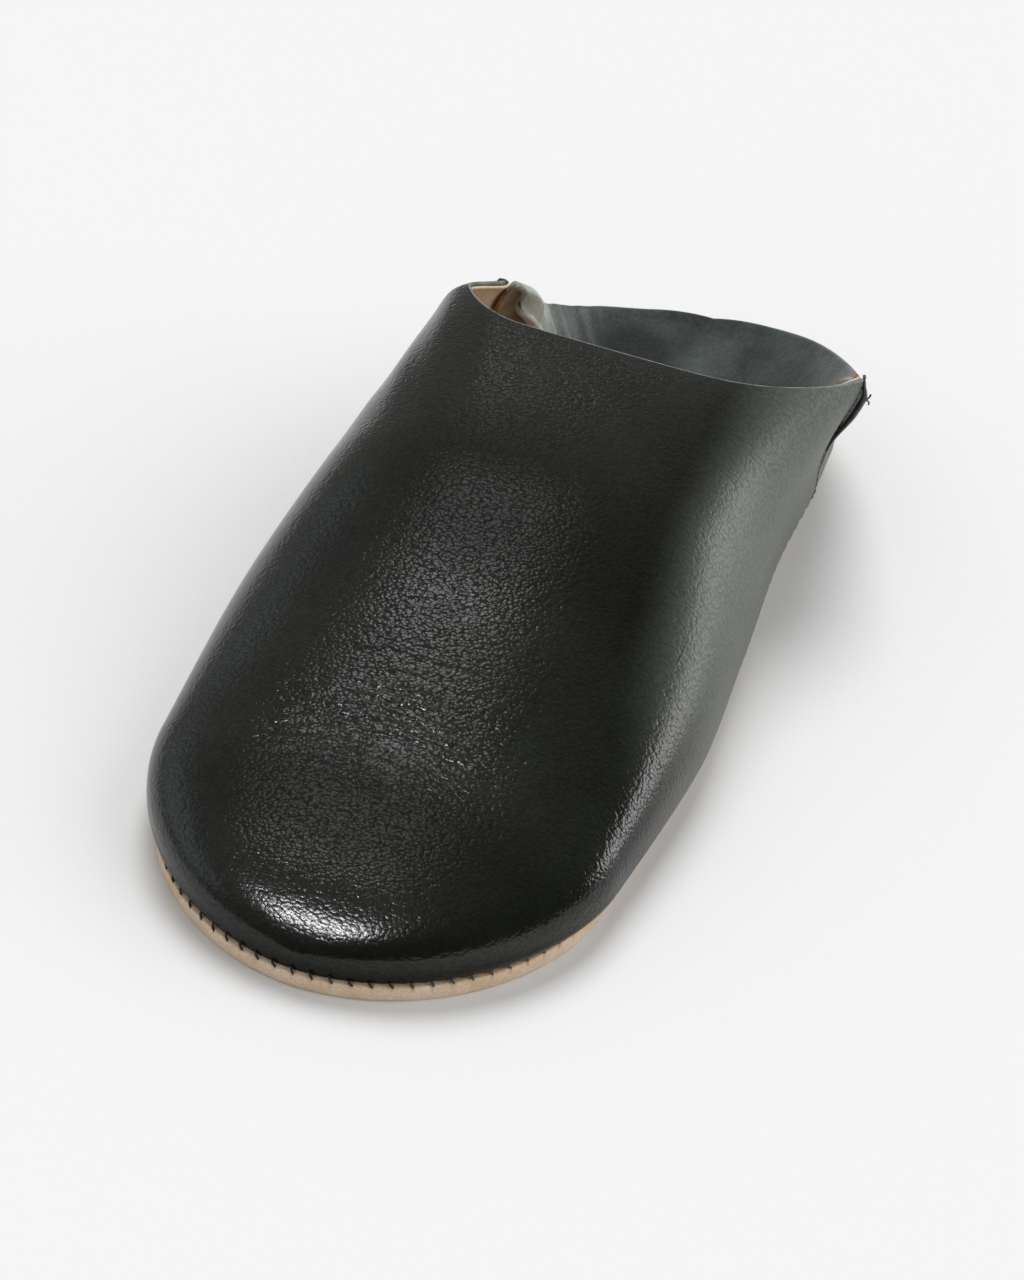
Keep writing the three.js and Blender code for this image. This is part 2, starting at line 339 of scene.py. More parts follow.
def grid_normals(grid: np.ndarray) -> np.ndarray:
    """Unit normals of a grid of points, shape (lines, rows, 3)."""
    return unit(np.cross(np.gradient(grid, axis=0), np.gradient(grid, axis=1)))


def ring_faces(rings: int, count: int) -> list[Face]:
    """Quads between rings of points that are numbered one ring after another.

    Args:
        rings: Number of rings.
        count: Points in each ring.

    Returns:
        The quads.
    """
    faces = []
    for low in range(0, (rings - 1) * count, count):
        for i in range(count):
            k = (i + 1) % count
            faces.append((low + i, low + k, low + count + k, low + count + i))
    return faces


def capped(rings: np.ndarray) -> tuple[np.ndarray, list[Face]]:
    """Closes rings of points into a solid with flat ends.

    Args:
        rings: Points, shape (rings, points, 3).

    Returns:
        Its points and faces.
    """
    count = rings.shape[1]
    last = (len(rings) - 1) * count
    faces = ring_faces(len(rings), count)
    faces += [tuple(range(count))[::-1], tuple(range(last, last + count))]
    return rings.reshape(-1, 3), faces


def bridge(first: list[int], second: list[int]) -> list[Face]:
    """Triangles between two polylines that run the same way and may differ in count.

    Args:
        first: Vertex numbers of the first polyline.
        second: Vertex numbers of the second polyline.

    Returns:
        The triangles.
    """
    faces, i, j = [], 0, 0
    while i < len(first) - 1 or j < len(second) - 1:
        step_first = (i + 1) / max(len(first) - 1, 1) <= (j + 1) / max(len(second) - 1, 1)
        if j == len(second) - 1 or (step_first and i < len(first) - 1):
            faces.append((first[i], first[i + 1], second[j]))
            i += 1
        else:
            faces.append((first[i], second[j + 1], second[j]))
            j += 1
    return faces


def new_piece(
    name: str,
    points: np.ndarray,
    faces: list[Face],
    finishes: list[Material],
    face_finish: list[int] | None = None,
) -> Object:
    """A mesh object at the origin, made from points in the shoe's millimetres.

    Args:
        name: The piece's name.
        points: Rows of across, back and up.
        faces: Vertex numbers of each face.
        finishes: The piece's materials.
        face_finish: Number of the material on each face, or none where there is one material.

    Returns:
        The new object, smoothly shaded.
    """
    mesh = bpy.data.meshes.new(name)
    mesh.from_pydata(to_frame(points).tolist(), [], faces)
    mesh.polygons.foreach_set("use_smooth", [True] * len(faces))
    for finish in finishes:
        mesh.materials.append(finish)
    if face_finish is not None:
        mesh.polygons.foreach_set("material_index", face_finish)
    mesh.validate()
    mesh.update()
    piece = bpy.data.objects.new(name, mesh)
    bpy.context.scene.collection.objects.link(piece)
    return piece


def settle(piece: Object, slot: str, *stands_for: str) -> Object:
    """Rides a finished piece on the slipper and reports it.

    Args:
        piece: The finished piece.
        slot: The record's material slot that its finish comes from; not used.
        *stands_for: CAD nodes that it replaces.

    Returns:
        The same piece.
    """
    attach(piece, "root")
    if stands_for:
        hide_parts(*stands_for)
    LOG.info("%s: %d faces", piece.name, len(piece.data.polygons))
    return piece


@dataclass
class Sheet:
    """A closed sheet of leather: a grid of outside points, an inside, and a rounded free edge.

    The inside is coarser than the outside, and keeps every second row of the first foot_rows.
    """

    grid: np.ndarray
    wall: float
    inner_step: int = 6
    rim_rows: int = 5
    outer_depth: float = 0.0
    foot_rows: int = 0

    def rim(self, outer: np.ndarray, inner: np.ndarray) -> np.ndarray:
        """Half-round points from the outside's last row to the inside's last row.

        Args:
            outer: Outside grid.
            inner: Inside grid.

        Returns:
            Rim points, shape (lines, rim_rows, 3).
        """
        middle = (outer[:, -1] + inner[:, -1]) / 2.0
        arm = outer[:, -1] - middle
        ahead = unit(outer[:, -1] - outer[:, -2]) * np.linalg.norm(arm, axis=1, keepdims=True)
        turns = np.linspace(0.0, math.pi, self.rim_rows + 2)[1:-1]
        rows = [middle + arm * math.cos(t) + ahead * math.sin(t) for t in turns]
        return np.stack(rows, axis=1)

    def build(self, name: str, finishes: list[Material]) -> Object:
        """Builds the closed sheet.

        Args:
            name: The piece's name.
            finishes: Face leather, then any other leather of the cut edge and the inside.

        Returns:
            The sheet's object.
        """
        normals = grid_normals(self.grid)
        outer = self.grid - normals * self.outer_depth
        inside = self.grid - normals * (self.outer_depth + self.wall)
        inside[:, 0, 2] = outer[:, 0, 2]
        rows = outer.shape[1]
        picked = list(range(rows - 1, self.foot_rows, -self.inner_step))
        picked += list(range(self.foot_rows, 0, -2)) + [0]
        inner = inside[:, picked]
        loops = np.concatenate([outer, self.rim(outer, inside), inner], axis=1)
        lines, count = loops.shape[:2]
        edge = len(finishes) - 1
        faces = [(a, d, c, b) for a, b, c, d in ring_faces(lines, count)]
        finish = ([0] * (rows - 1) + [edge] * (count - rows + 1)) * (lines - 1)
        rim_end = rows + self.rim_rows
        for start, flip in ((0, False), ((lines - 1) * count, True)):
            outer_row = list(range(start, start + rim_end))
            inner_row = list(range(start + count - 1, start + rim_end - 1, -1))
            cap = bridge(outer_row, inner_row)
            faces += [face[::-1] if flip else face for face in cap]
            finish += [edge] * len(cap)
        return new_piece(name, loops.reshape(-1, 3), faces, finishes, finish)


# ---------------------------------------------------------------------------------------------
# Materials
# ---------------------------------------------------------------------------------------------


def linear(code: str) -> tuple[float, float, float, float]:
    """A linear colour from an sRGB hex value.

    Args:
        code: Six hex digits.

    Returns:
        Linear red, green, blue, and an alpha of one.
    """
    parts = [int(code[i : i + 2], 16) / 255.0 for i in (0, 2, 4)]
    made = [c / 12.92 if c <= 0.04045 else ((c + 0.055) / 1.055) ** 2.4 for c in parts]
    return (made[0], made[1], made[2], 1.0)


def per_metre(size: float) -> float:
    """A pattern's scale, so that it repeats every size millimetres."""
    return 1000.0 / size


def add_node(
    tree: NodeTree, kind: str, links: dict[int | str, object] | None = None, **settings: object
) -> Node:
    """Adds a node with its settings, and fills or links its inputs.

    Args:
        tree: The node tree.
        kind: The node's type.
        links: For each input, by name or number, a value to set, or a socket or a node to link.
            A node gives its first output in use.
        **settings: Properties of the node.

    Returns:
        The new node.
    """
    node = tree.nodes.new(kind)
    for name, value in settings.items():
        setattr(node, name, value)
    for key, value in (links or {}).items():
        if isinstance(value, Node):
            value = next(output for output in value.outputs if output.enabled)
        if isinstance(value, NodeSocket):
            tree.links.new(value, node.inputs[key])
        else:
            node.inputs[key].default_value = value
    return node


def new_material(name: str) -> tuple[Material, AddNode, NodeSocket]:
    """An empty material.

    Args:
        name: Its name.

    Returns:
        The material, what adds a node to it, and its object coordinates.
    """
    material = bpy.data.materials.new(name)
    material.use_nodes = True
    material.node_tree.nodes.clear()
    add = partial(add_node, material.node_tree)
    return material, add, add("ShaderNodeTexCoord").outputs["Object"]


@dataclass(frozen=True)
class Mark:
    """A fine wavering mark in a leather's face, between two points in the shoe's millimetres."""

    start: Triple
    end: Triple
    width: float
    height: float
    waver: float = 1.2
    paleness: float = 0.3


@dataclass(frozen=True)
class Patch:
    """A patch in the shoe's millimetres with its own shade and roughness: some are wear, most paint
    sheen, light or shade onto the leather. Its grain and gloss are shares of the leather's.
    """

    middle: Triple
    reach: Triple
    shade: str
    roughness: float
    grain: float = 1.0
    gloss: float = 1.0


@dataclass(frozen=True)
class Crackle:
    """Fine flexed lines in a leather's glaze, running across the shoe, in its millimetres.

    Each curves towards the toe at its ends, by arch times the square of its distance across.
    """

    middle: Triple
    reach: Triple
    spacing: float
    height: float
    arch: float = 0.0052
    waver: float = 8.0


@dataclass(frozen=True)
class LeatherFinish:
    """A leather, as its colours, its grain at real sizes in millimetres, and its gloss."""

    name: str
    dark: str
    light: str
    patch: float
    grain: float
    grain_height: float
    stretch: Triple = (1.0, 1.0, 1.0)
    pore: float = 0.35
    pore_height: float = 0.01
    wrinkle: float = 6.0
    wrinkle_height: float = 0.0
    roughness: tuple[float, float] = (0.4, 0.5)
    # Painted shade in the grain's valleys: how much their colour and gloss are darkened
    valley: float = 0.0
    sheen: float = 0.0
    specular: float = 0.5
    patches: tuple[Patch, ...] = ()
    crackle: Crackle | None = None
    marks: tuple[Mark, ...] = ()

    def build(self) -> Material:
        """Builds the leather's node material.

        Returns:
            The material.
        """
        material, add, place = new_material(self.name)
        nodes = LeatherNodes(self, add, place)
        shaped = nodes.warped()
        domes = nodes.domes(shaped)
        worn = [(patch, nodes.worn(patch)) for patch in self.patches]
        shader = add(
            "ShaderNodeBsdfPrincipled",
            {
                "Base Color": nodes.colour(domes, worn),
                "Roughness": nodes.dullness(worn),
                "Normal": nodes.relief(domes, worn),
                "Sheen Weight": self.sheen,
                "Sheen Roughness": 0.45,
                "Specular IOR Level": nodes.shine(domes, worn),
            },
        )
        add("ShaderNodeOutputMaterial", {"Surface": shader})
        return material


Wear = list[tuple[Patch, Node]]


@dataclass
class LeatherNodes:
    """Lays out the nodes of one leather, all read at the place on the shoe."""

    finish: LeatherFinish
    add: AddNode
    place: NodeSocket
    # Heights between which the grain passes from the bottom of a valley to a pebble's top
    dome_range: tuple[float, float] = (0.0, 0.7)

    def worn(self, spot: Patch | Crackle) -> Node:
        """How much a patch, or the area of a crackle's flexed lines, shows.

        Args:
            spot: The patch, or the crackle.

        Returns:
            Its share: 1 in its middle, 0 beyond its reach.
        """
        middle = tuple(to_frame(np.array([spot.middle]))[0])
        scale = tuple(per_metre(reach) for reach in spot.reach)
        away = self.add("ShaderNodeVectorMath", {0: self.place, 1: middle}, operation="SUBTRACT")
        scaled = self.add("ShaderNodeVectorMath", {0: away, 1: scale}, operation="MULTIPLY")
        gap = self.add("ShaderNodeVectorMath", {0: scaled}, operation="LENGTH")
        fade = {0: gap, 1: 0.3, 2: 1.0, 3: 1.0, 4: 0.0}
        return self.add("ShaderNodeMapRange", fade, interpolation_type="SMOOTHSTEP")

    def warped(self) -> Node:
        """Coordinates in grain widths, bent a little so that no row of pebbles is straight."""
        scale = tuple(per_metre(self.finish.grain * stretch) for stretch in self.finish.stretch)
        scaled = self.add("ShaderNodeMapping", {"Vector": self.place, "Scale": scale})
        noise = self.add("ShaderNodeTexNoise", {"Vector": scaled, "Scale": 0.45, "Detail": 2.0})
        bend = {0: noise.outputs["Color"], 1: (1.6, 1.6, 1.6), 2: scaled}
        return self.add("ShaderNodeVectorMath", bend, operation="MULTIPLY_ADD")

    def domes(self, shaped: Node) -> Node:
        """The grain's pebbles: rounded domes, 1 on their tops, that meet in narrow valleys.

        Args:
            shaped: Bent coordinates in grain widths.

        Returns:
            The pebbles' height.
        """
        cells = self.add("ShaderNodeTexVoronoi", {"Vector": shaped, "Scale": 1.0}, feature="F1")
        squared = self.add("ShaderNodeMath", {0: cells, 1: 2.0}, operation="POWER")
        lumps = self.add("ShaderNodeTexNoise", {"Vector": shaped, "Scale": 0.8, "Detail": 2.0})
        softened = self.add("ShaderNodeMath", {0: lumps, 1: 0.5}, operation="MULTIPLY")
        both = self.add(
            "ShaderNodeMath", {0: squared, 1: -1.9, 2: softened}, operation="MULTIPLY_ADD"
        )
        return self.add("ShaderNodeMath", {0: both, 1: 0.5}, operation="ADD")

    def dullness(self, worn: Wear) -> Node:
        """The roughness: cloudy, and changed in each patch.

        Args:
            worn: Each patch, and how much it shows.

        Returns:
            The roughness.
        """
        scale = per_metre(self.finish.patch * 0.6)
        clouds = {"Vector": self.place, "Scale": scale, "Detail": 4.0}
        cloud = self.add("ShaderNodeTexNoise", clouds)
        low, high = self.finish.roughness
        rough = self.add("ShaderNodeMapRange", {0: cloud, 1: 0.3, 2: 0.7, 3: low, 4: high})
        for patch, share in worn:
            links = {0: share, 2: rough, 3: patch.roughness}
            rough = self.add("ShaderNodeMix", links, data_type="FLOAT")
        return rough

    def shine(self, domes: Node, worn: Wear) -> Node | float:
        """The gloss: dimmed in the grain's valleys as painted shade, and in the patches that lower
        it, as painted shade on the lamps' reflections.

        Args:
            domes: The pebbles' height.
            worn: Each patch, and how much it shows.

        Returns:
            The specular level, as a plain number where nothing changes it.
        """
        top = self.finish.specular
        if self.finish.valley == 0.0 and not worn:
            return top
        # Painted shade: the gloss is dimmed down in the grain's valleys
        low, high = self.dome_range
        deep = top * (1.0 - 2.0 * self.finish.valley)
        shine = self.add("ShaderNodeMapRange", {0: domes, 1: low, 2: high, 3: deep, 4: top})
        for patch, share in worn:
            kept = self.add("ShaderNodeMapRange", {0: share, 3: 1.0, 4: patch.gloss})
            shine = self.add("ShaderNodeMath", {0: shine, 1: kept}, operation="MULTIPLY")
        return shine

    def colour(self, domes: Node, worn: Wear) -> Node:
        """The colour: the dye cloudy in two shades, with the patches' own shades, most of them
        painted sheen, light or shade, painted shade in the grain's valleys, and pale marks.

        Args:
            domes: The pebbles' height.
            worn: Each patch, and how much it shows.

        Returns:
            The colour.
        """
        finish = self.finish
        clouds = {"Scale": per_metre(finish.patch), "Detail": 6.0, "Roughness": 0.62}
        cloud = self.add("ShaderNodeTexNoise", {"Vector": self.place} | clouds)
        share = self.add("ShaderNodeMapRange", {0: cloud, 1: 0.36, 2: 0.64, 3: 0.0, 4: 1.0})
        shades = {0: share, 6: linear(finish.dark), 7: linear(finish.light)}
        shade = self.add("ShaderNodeMix", shades, data_type="RGBA")
        for patch, share in worn:
            shades = {0: share, 6: shade, 7: linear(patch.shade)}
            shade = self.add("ShaderNodeMix", shades, data_type="RGBA")
        # Painted shade: the colour is darkened down in the grain's valleys
        if finish.valley > 0.0:
            low, high = self.dome_range
            deep = 1.0 - 1.5 * finish.valley
            depth = self.add("ShaderNodeMapRange", {0: domes, 1: low, 2: high, 3: deep, 4: 1.0})
            shade = self.add("ShaderNodeVectorMath", {0: shade, 3: depth}, operation="SCALE")
        for mark in finish.marks:
            shades = {0: self.near(mark, mark.paleness), 6: shade, 7: linear(finish.light)}
            shade = self.add("ShaderNodeMix", shades, data_type="RGBA")
        return shade

    def near(self, mark: Mark, most: float) -> Node:
        """How near the face is to a mark's line.

        Args:
            mark: The mark.
            most: The value on the line.

        Returns:
            The nearness, from 0 away from the line to most on it.
        """
        ends = to_frame(np.array([mark.start, mark.end]))
        along = unit(ends[1] - ends[0])
        half = float(np.linalg.norm(ends[1] - ends[0])) / 2.0
        waver, width = mark.waver * MM, mark.width * MM
        middle = tuple(ends.mean(axis=0) + waver / 2.0)
        bends = {"Vector": self.place, "Scale": 160.0, "Detail": 1.0}
        wander = self.add("ShaderNodeTexNoise", bends)
        moved = self.add(
            "ShaderNodeVectorMath",
            {0: wander.outputs["Color"], 1: (waver, waver, waver), 2: self.place},
            operation="MULTIPLY_ADD",
        )
        centred = self.add("ShaderNodeVectorMath", {0: moved, 1: middle}, operation="SUBTRACT")
        line = {0: centred, 1: tuple(along)}
        crossed = self.add("ShaderNodeVectorMath", line, operation="CROSS_PRODUCT")
        gap = self.add("ShaderNodeVectorMath", {0: crossed}, operation="LENGTH")
        beside = self.add(
            "ShaderNodeMapRange",
            {0: gap, 1: width * 0.3, 2: width, 3: most, 4: 0.0},
            interpolation_type="SMOOTHSTEP",
        )
        walked = self.add("ShaderNodeVectorMath", line, operation="DOT_PRODUCT")
        distance = self.add("ShaderNodeMath", {0: walked}, operation="ABSOLUTE")
        fade = {0: distance, 1: half * 0.6, 2: half, 3: 1.0, 4: 0.0}
        within = self.add("ShaderNodeMapRange", fade)
        return self.add("ShaderNodeMath", {0: beside, 1: within}, operation="MULTIPLY")

    def flexed(self, crackle: Crackle) -> Node:
        """The flexed lines: bowed bands that break up, and fade out away from the flex.

        Args:
            crackle: The lines.

        Returns:
            Their height, 0 to 1.
        """
        middle = tuple(to_frame(np.array([crackle.middle]))[0])
        away = self.add("ShaderNodeVectorMath", {0: self.place, 1: middle}, operation="SUBTRACT")
        across, back, _ = self.add("ShaderNodeSeparateXYZ", {"Vector": away}).outputs
        squared = self.add("ShaderNodeMath", {0: across, 1: across}, operation="MULTIPLY")
        arch = {0: squared, 1: crackle.arch / MM, 2: back}
        bent = self.add("ShaderNodeMath", arch, operation="MULTIPLY_ADD")
        bends = {"Vector": self.place, "Scale": 110.0, "Detail": 3.0}
        wander = self.add("ShaderNodeTexNoise", bends)
        waver = {0: wander, 1: crackle.waver * MM, 2: bent}
        moved = self.add("ShaderNodeMath", waver, operation="MULTIPLY_ADD")
        turns = 2.0 * math.pi * per_metre(crackle.spacing)
        turned = self.add("ShaderNodeMath", {0: moved, 1: turns}, operation="MULTIPLY")
        wave = self.add("ShaderNodeMath", {0: turned}, operation="SINE")
        ridge = self.add(
            "ShaderNodeMapRange",
            {0: wave, 1: -1.0, 2: 0.1, 3: 0.0, 4: 1.0},
            interpolation_type="SMOOTHSTEP",
        )
        gaps = {"Vector": self.place, "Scale": 90.0, "Detail": 2.0}
        broken = self.add("ShaderNodeTexNoise", gaps)
        shown = self.add("ShaderNodeMapRange", {0: broken, 1: 0.42, 2: 0.6, 3: 0.0, 4: 1.0})
        share = self.add("ShaderNodeMath", {0: self.worn(crackle), 1: shown}, operation="MULTIPLY")
        return self.add("ShaderNodeMath", {0: ridge, 1: share}, operation="MULTIPLY")

    def relief(self, domes: Node, worn: Wear) -> Node:
        """The face's relief: wrinkles, then pebbles, flexed lines, pores and marks.

        Args:
            domes: The pebbles' height.
            worn: Each patch, and how much it shows.

        Returns:
            The bumped normal.
        """
        finish = self.finish
        folds = {"Scale": per_metre(finish.wrinkle), "Detail": 3.0, "Distortion": 0.6}
        fold = self.add("ShaderNodeTexNoise", {"Vector": self.place} | folds)
        for patch, share in worn:
            depth = self.add("ShaderNodeMapRange", {0: share, 3: 1.0, 4: patch.grain})
            domes = self.add("ShaderNodeMath", {0: domes, 1: depth}, operation="MULTIPLY")
        layers = [(fold, finish.wrinkle_height), (domes, finish.grain_height)]
        if finish.crackle is not None:
            layers.append((self.flexed(finish.crackle), finish.crackle.height))
        holes = {"Scale": per_metre(finish.pore), "Detail": 2.0, "Roughness": 0.7}
        pores = self.add("ShaderNodeTexNoise", {"Vector": self.place} | holes)
        layers.append((pores, finish.pore_height))
        layers += [(self.near(mark, 1.0), mark.height) for mark in finish.marks]
        below: dict[str, Node] = {}
        for height, depth in layers:
            links = {"Height": height, "Distance": depth * MM} | below
            below = {"Normal": self.add("ShaderNodeBump", links)}
        return below["Normal"]


# Goat skin, black dye over olive, glazed by a glass roller: near black, with pebbles a little
# under a millimetre wide that each catch the light, and painted shade darkening the valleys
# between. The outer flank has rubbed matt, and its pale grey is painted sheen. Low round the foot
# the wall is rougher, and its darker colour and dimmed gloss are painted shade; the toe's crest is
# pulled smooth; before and behind the flexed lines the gloss is dimmed as painted shade on the
# lamps' reflection.
GLAZED_GOAT = LeatherFinish(
    name="glazed_black_goat_leather",
    dark="11130e",
    light="1d2019",
    patch=34.0,
    grain=0.85,
    grain_height=0.042,
    stretch=(1.2, 0.9, 1.0),
    pore=0.3,
    pore_height=0.008,
    wrinkle=5.0,
    wrinkle_height=0.07,
    roughness=(0.14, 0.2),
    valley=0.13,
    patches=(
        # Painted sheen: the flank's pale grey shade; its higher roughness is the rubbed matt face
        Patch(
            middle=(60.0, 162.0, 36.0),
            reach=(30.0, 116.0, 72.0),
            shade="6a6f68",
            roughness=0.58,
        ),
        # Painted shade: darker colour and dimmed gloss low round the foot of the wall
        Patch(
            middle=(0.0, 26.0, 4.5),
            reach=(95.0, 80.0, 9.0),
            shade="0f110d",
            roughness=0.3,
            gloss=0.3,
        ),
        Patch(
            middle=(0.0, 6.0, 12.0),
            reach=(50.0, 16.0, 14.0),
            shade="171914",
            roughness=0.18,
            grain=0.55,
        ),
        # Painted shade: dimmed gloss that fades the lamp's reflection towards the toe
        Patch(
            middle=(4.0, 31.0, 28.0),
            reach=(70.0, 19.0, 32.0),
            shade="161813",
            roughness=0.24,
            gloss=0.5,
        ),
        # Painted shade: dimmed gloss that fades the top of the lamp's reflection
        Patch(
            middle=(-2.0, 114.0, 50.0),
            reach=(44.0, 32.0, 40.0),
            shade="181b16",
            roughness=0.24,
            gloss=0.55,
        ),
    ),
    crackle=Crackle(
        middle=(-6.0, 49.0, 29.0), reach=(46.0, 19.0, 40.0), spacing=2.3, height=0.15
    ),
    marks=(
        Mark(start=(50.0, 70.0, 30.0), end=(47.0, 110.0, 36.0), width=0.4, height=0.1),
    ),
)

# The same skin where it folds in at the heel: pulled soft and handled, so the glaze has gone and
# the dye reads a cloudy green grey with a dull face. A pale patch at the left corner is painted
# light on the fold, and a darker patch lies low on the flap, left of the middle.
SOFT_GOAT = LeatherFinish(
    name="soft_worn_goat_leather",
    dark="222a29",
    light="4c5653",
    patch=16.0,
    grain=1.0,
    grain_height=0.035,
    pore=0.3,
    pore_height=0.008,
    wrinkle=5.0,
    wrinkle_height=0.25,
    roughness=(0.5, 0.62),
    valley=0.12,
    sheen=0.3,
    patches=(
        # Painted light: the pale grey where the fold at the left corner faces the light
        Patch(middle=(-29.0, 196.0, 37.0), reach=(17.0, 26.0, 30.0), shade="bcc0b9", roughness=0.6),
        # A darker patch low on the flap, left of the middle line
        Patch(middle=(-13.0, 222.0, 10.0), reach=(17.0, 17.0, 14.0), shade="161b1b", roughness=0.6),
    ),
)

# Undyed sheepskin glued inside the vamp: warm cream, matt, with a close fine grain.
SHEEP_LINING = LeatherFinish(
    name="undyed_sheepskin_lining",
    dark="e2ccb0",
    light="f6e6ce",
    patch=20.0,
    grain=0.8,
    grain_height=0.03,
    pore=0.25,
    pore_height=0.01,
    wrinkle=8.0,
    wrinkle_height=0.2,
    roughness=(0.62, 0.75),
    valley=0.08,
)

# Vegetable-tanned cowhide, cut and buffed at its edge: pale tan with fine fibres, dull.
SOLE_HIDE = LeatherFinish(
    name="vegetable_tanned_sole_leather",
    dark="eccdac",
    light="f8e0c6",
    patch=11.0,
    grain=0.5,
    grain_height=0.03,
    stretch=(1.6, 1.6, 0.5),
    pore=0.22,
    pore_height=0.02,
    wrinkle=4.0,
    wrinkle_height=0.12,
    roughness=(0.6, 0.75),
    valley=0.12,
)

# Vegetable-tanned calf for the insole: a little smoother and yellower than the sole.
INSOLE_CALF = LeatherFinish(
    name="vegetable_tanned_insole_leather",
    dark="c49c76",
    light="d8b48d",
    patch=26.0,
    grain=0.7,
    grain_height=0.02,
    pore=0.3,
    pore_height=0.01,
    wrinkle=12.0,
    wrinkle_height=0.3,
    roughness=(0.5, 0.62),
    valley=0.06,
)

# A strip of oiled tan leather sewn into the side seam: orange brown, darkened where it is handled.
SEAM_STRIP = LeatherFinish(
    name="oiled_tan_seam_strip",
    dark="7d4f2c",
    light="b07b4d",
    patch=5.0,
    grain=0.7,
    grain_height=0.04,
    roughness=(0.45, 0.6),
    valley=0.2,
)

# The flesh side of the folded heel leather: undyed suede gone pale grey, with a soft nap.
FLESH_SIDE = LeatherFinish(
    name="pale_flesh_side_suede",
    dark="a19f97",
    light="c9c7bf",
    patch=9.0,
    grain=0.6,
    grain_height=0.03,
    roughness=(0.75, 0.9),
    valley=0.08,
    sheen=0.3,
)

# The bare cut through dyed leather: a thin grey line of fibres, paler than the glazed face.
CUT_EDGE = LeatherFinish(
    name="cut_edge_of_dyed_leather",
    dark="5c605d",
    light="8d918c",
    patch=3.0,
    grain=0.3,
    grain_height=0.02,
    roughness=(0.5, 0.7),
)


# Width in metres of one band of the wave texture at a scale of one
WAVE_BAND = 2.0 * math.pi / 20.0


@dataclass(frozen=True)
class ThreadFinish:
    """Waxed thread: black linen whose twist shows as slanted ridges under the wax.

    The twist is drawn coarser than the real one of about a millimetre, so that it shows.
    """

    name: str = "waxed_black_linen_thread"
    dark: str = "0d0e0e"
    light: str = "262625"
    twist: float = 3.14159
    twist_height: float = 0.08
    slant: Triple = (0.6, 0.5, 0.4)
    roughness: float = 0.38

    def build(self) -> Material:
        """Builds the thread's node material.

        Returns:
            The material.
        """
        material, add, place = new_material(self.name)
        turned = add("ShaderNodeMapping", {"Vector": place, "Rotation": self.slant})
        ridges = add(
            "ShaderNodeTexWave",
            {"Vector": turned, "Scale": per_metre(self.twist) * WAVE_BAND, "Distortion": 1.0},
        ).outputs["Fac"]
        shades = {0: ridges, 6: linear(self.dark), 7: linear(self.light)}
        relief = {"Height": ridges, "Distance": self.twist_height * MM}
        shader = add(
            "ShaderNodeBsdfPrincipled",
            {
                "Base Color": add("ShaderNodeMix", shades, data_type="RGBA"),
                "Roughness": self.roughness,
                "Normal": add("ShaderNodeBump", relief),
                "Coat Weight": 0.4,
                "Coat Roughness": 0.2,
            },
        )
        add("ShaderNodeOutputMaterial", {"Surface": shader})
        return material


# ---------------------------------------------------------------------------------------------
# The vamp
# ---------------------------------------------------------------------------------------------


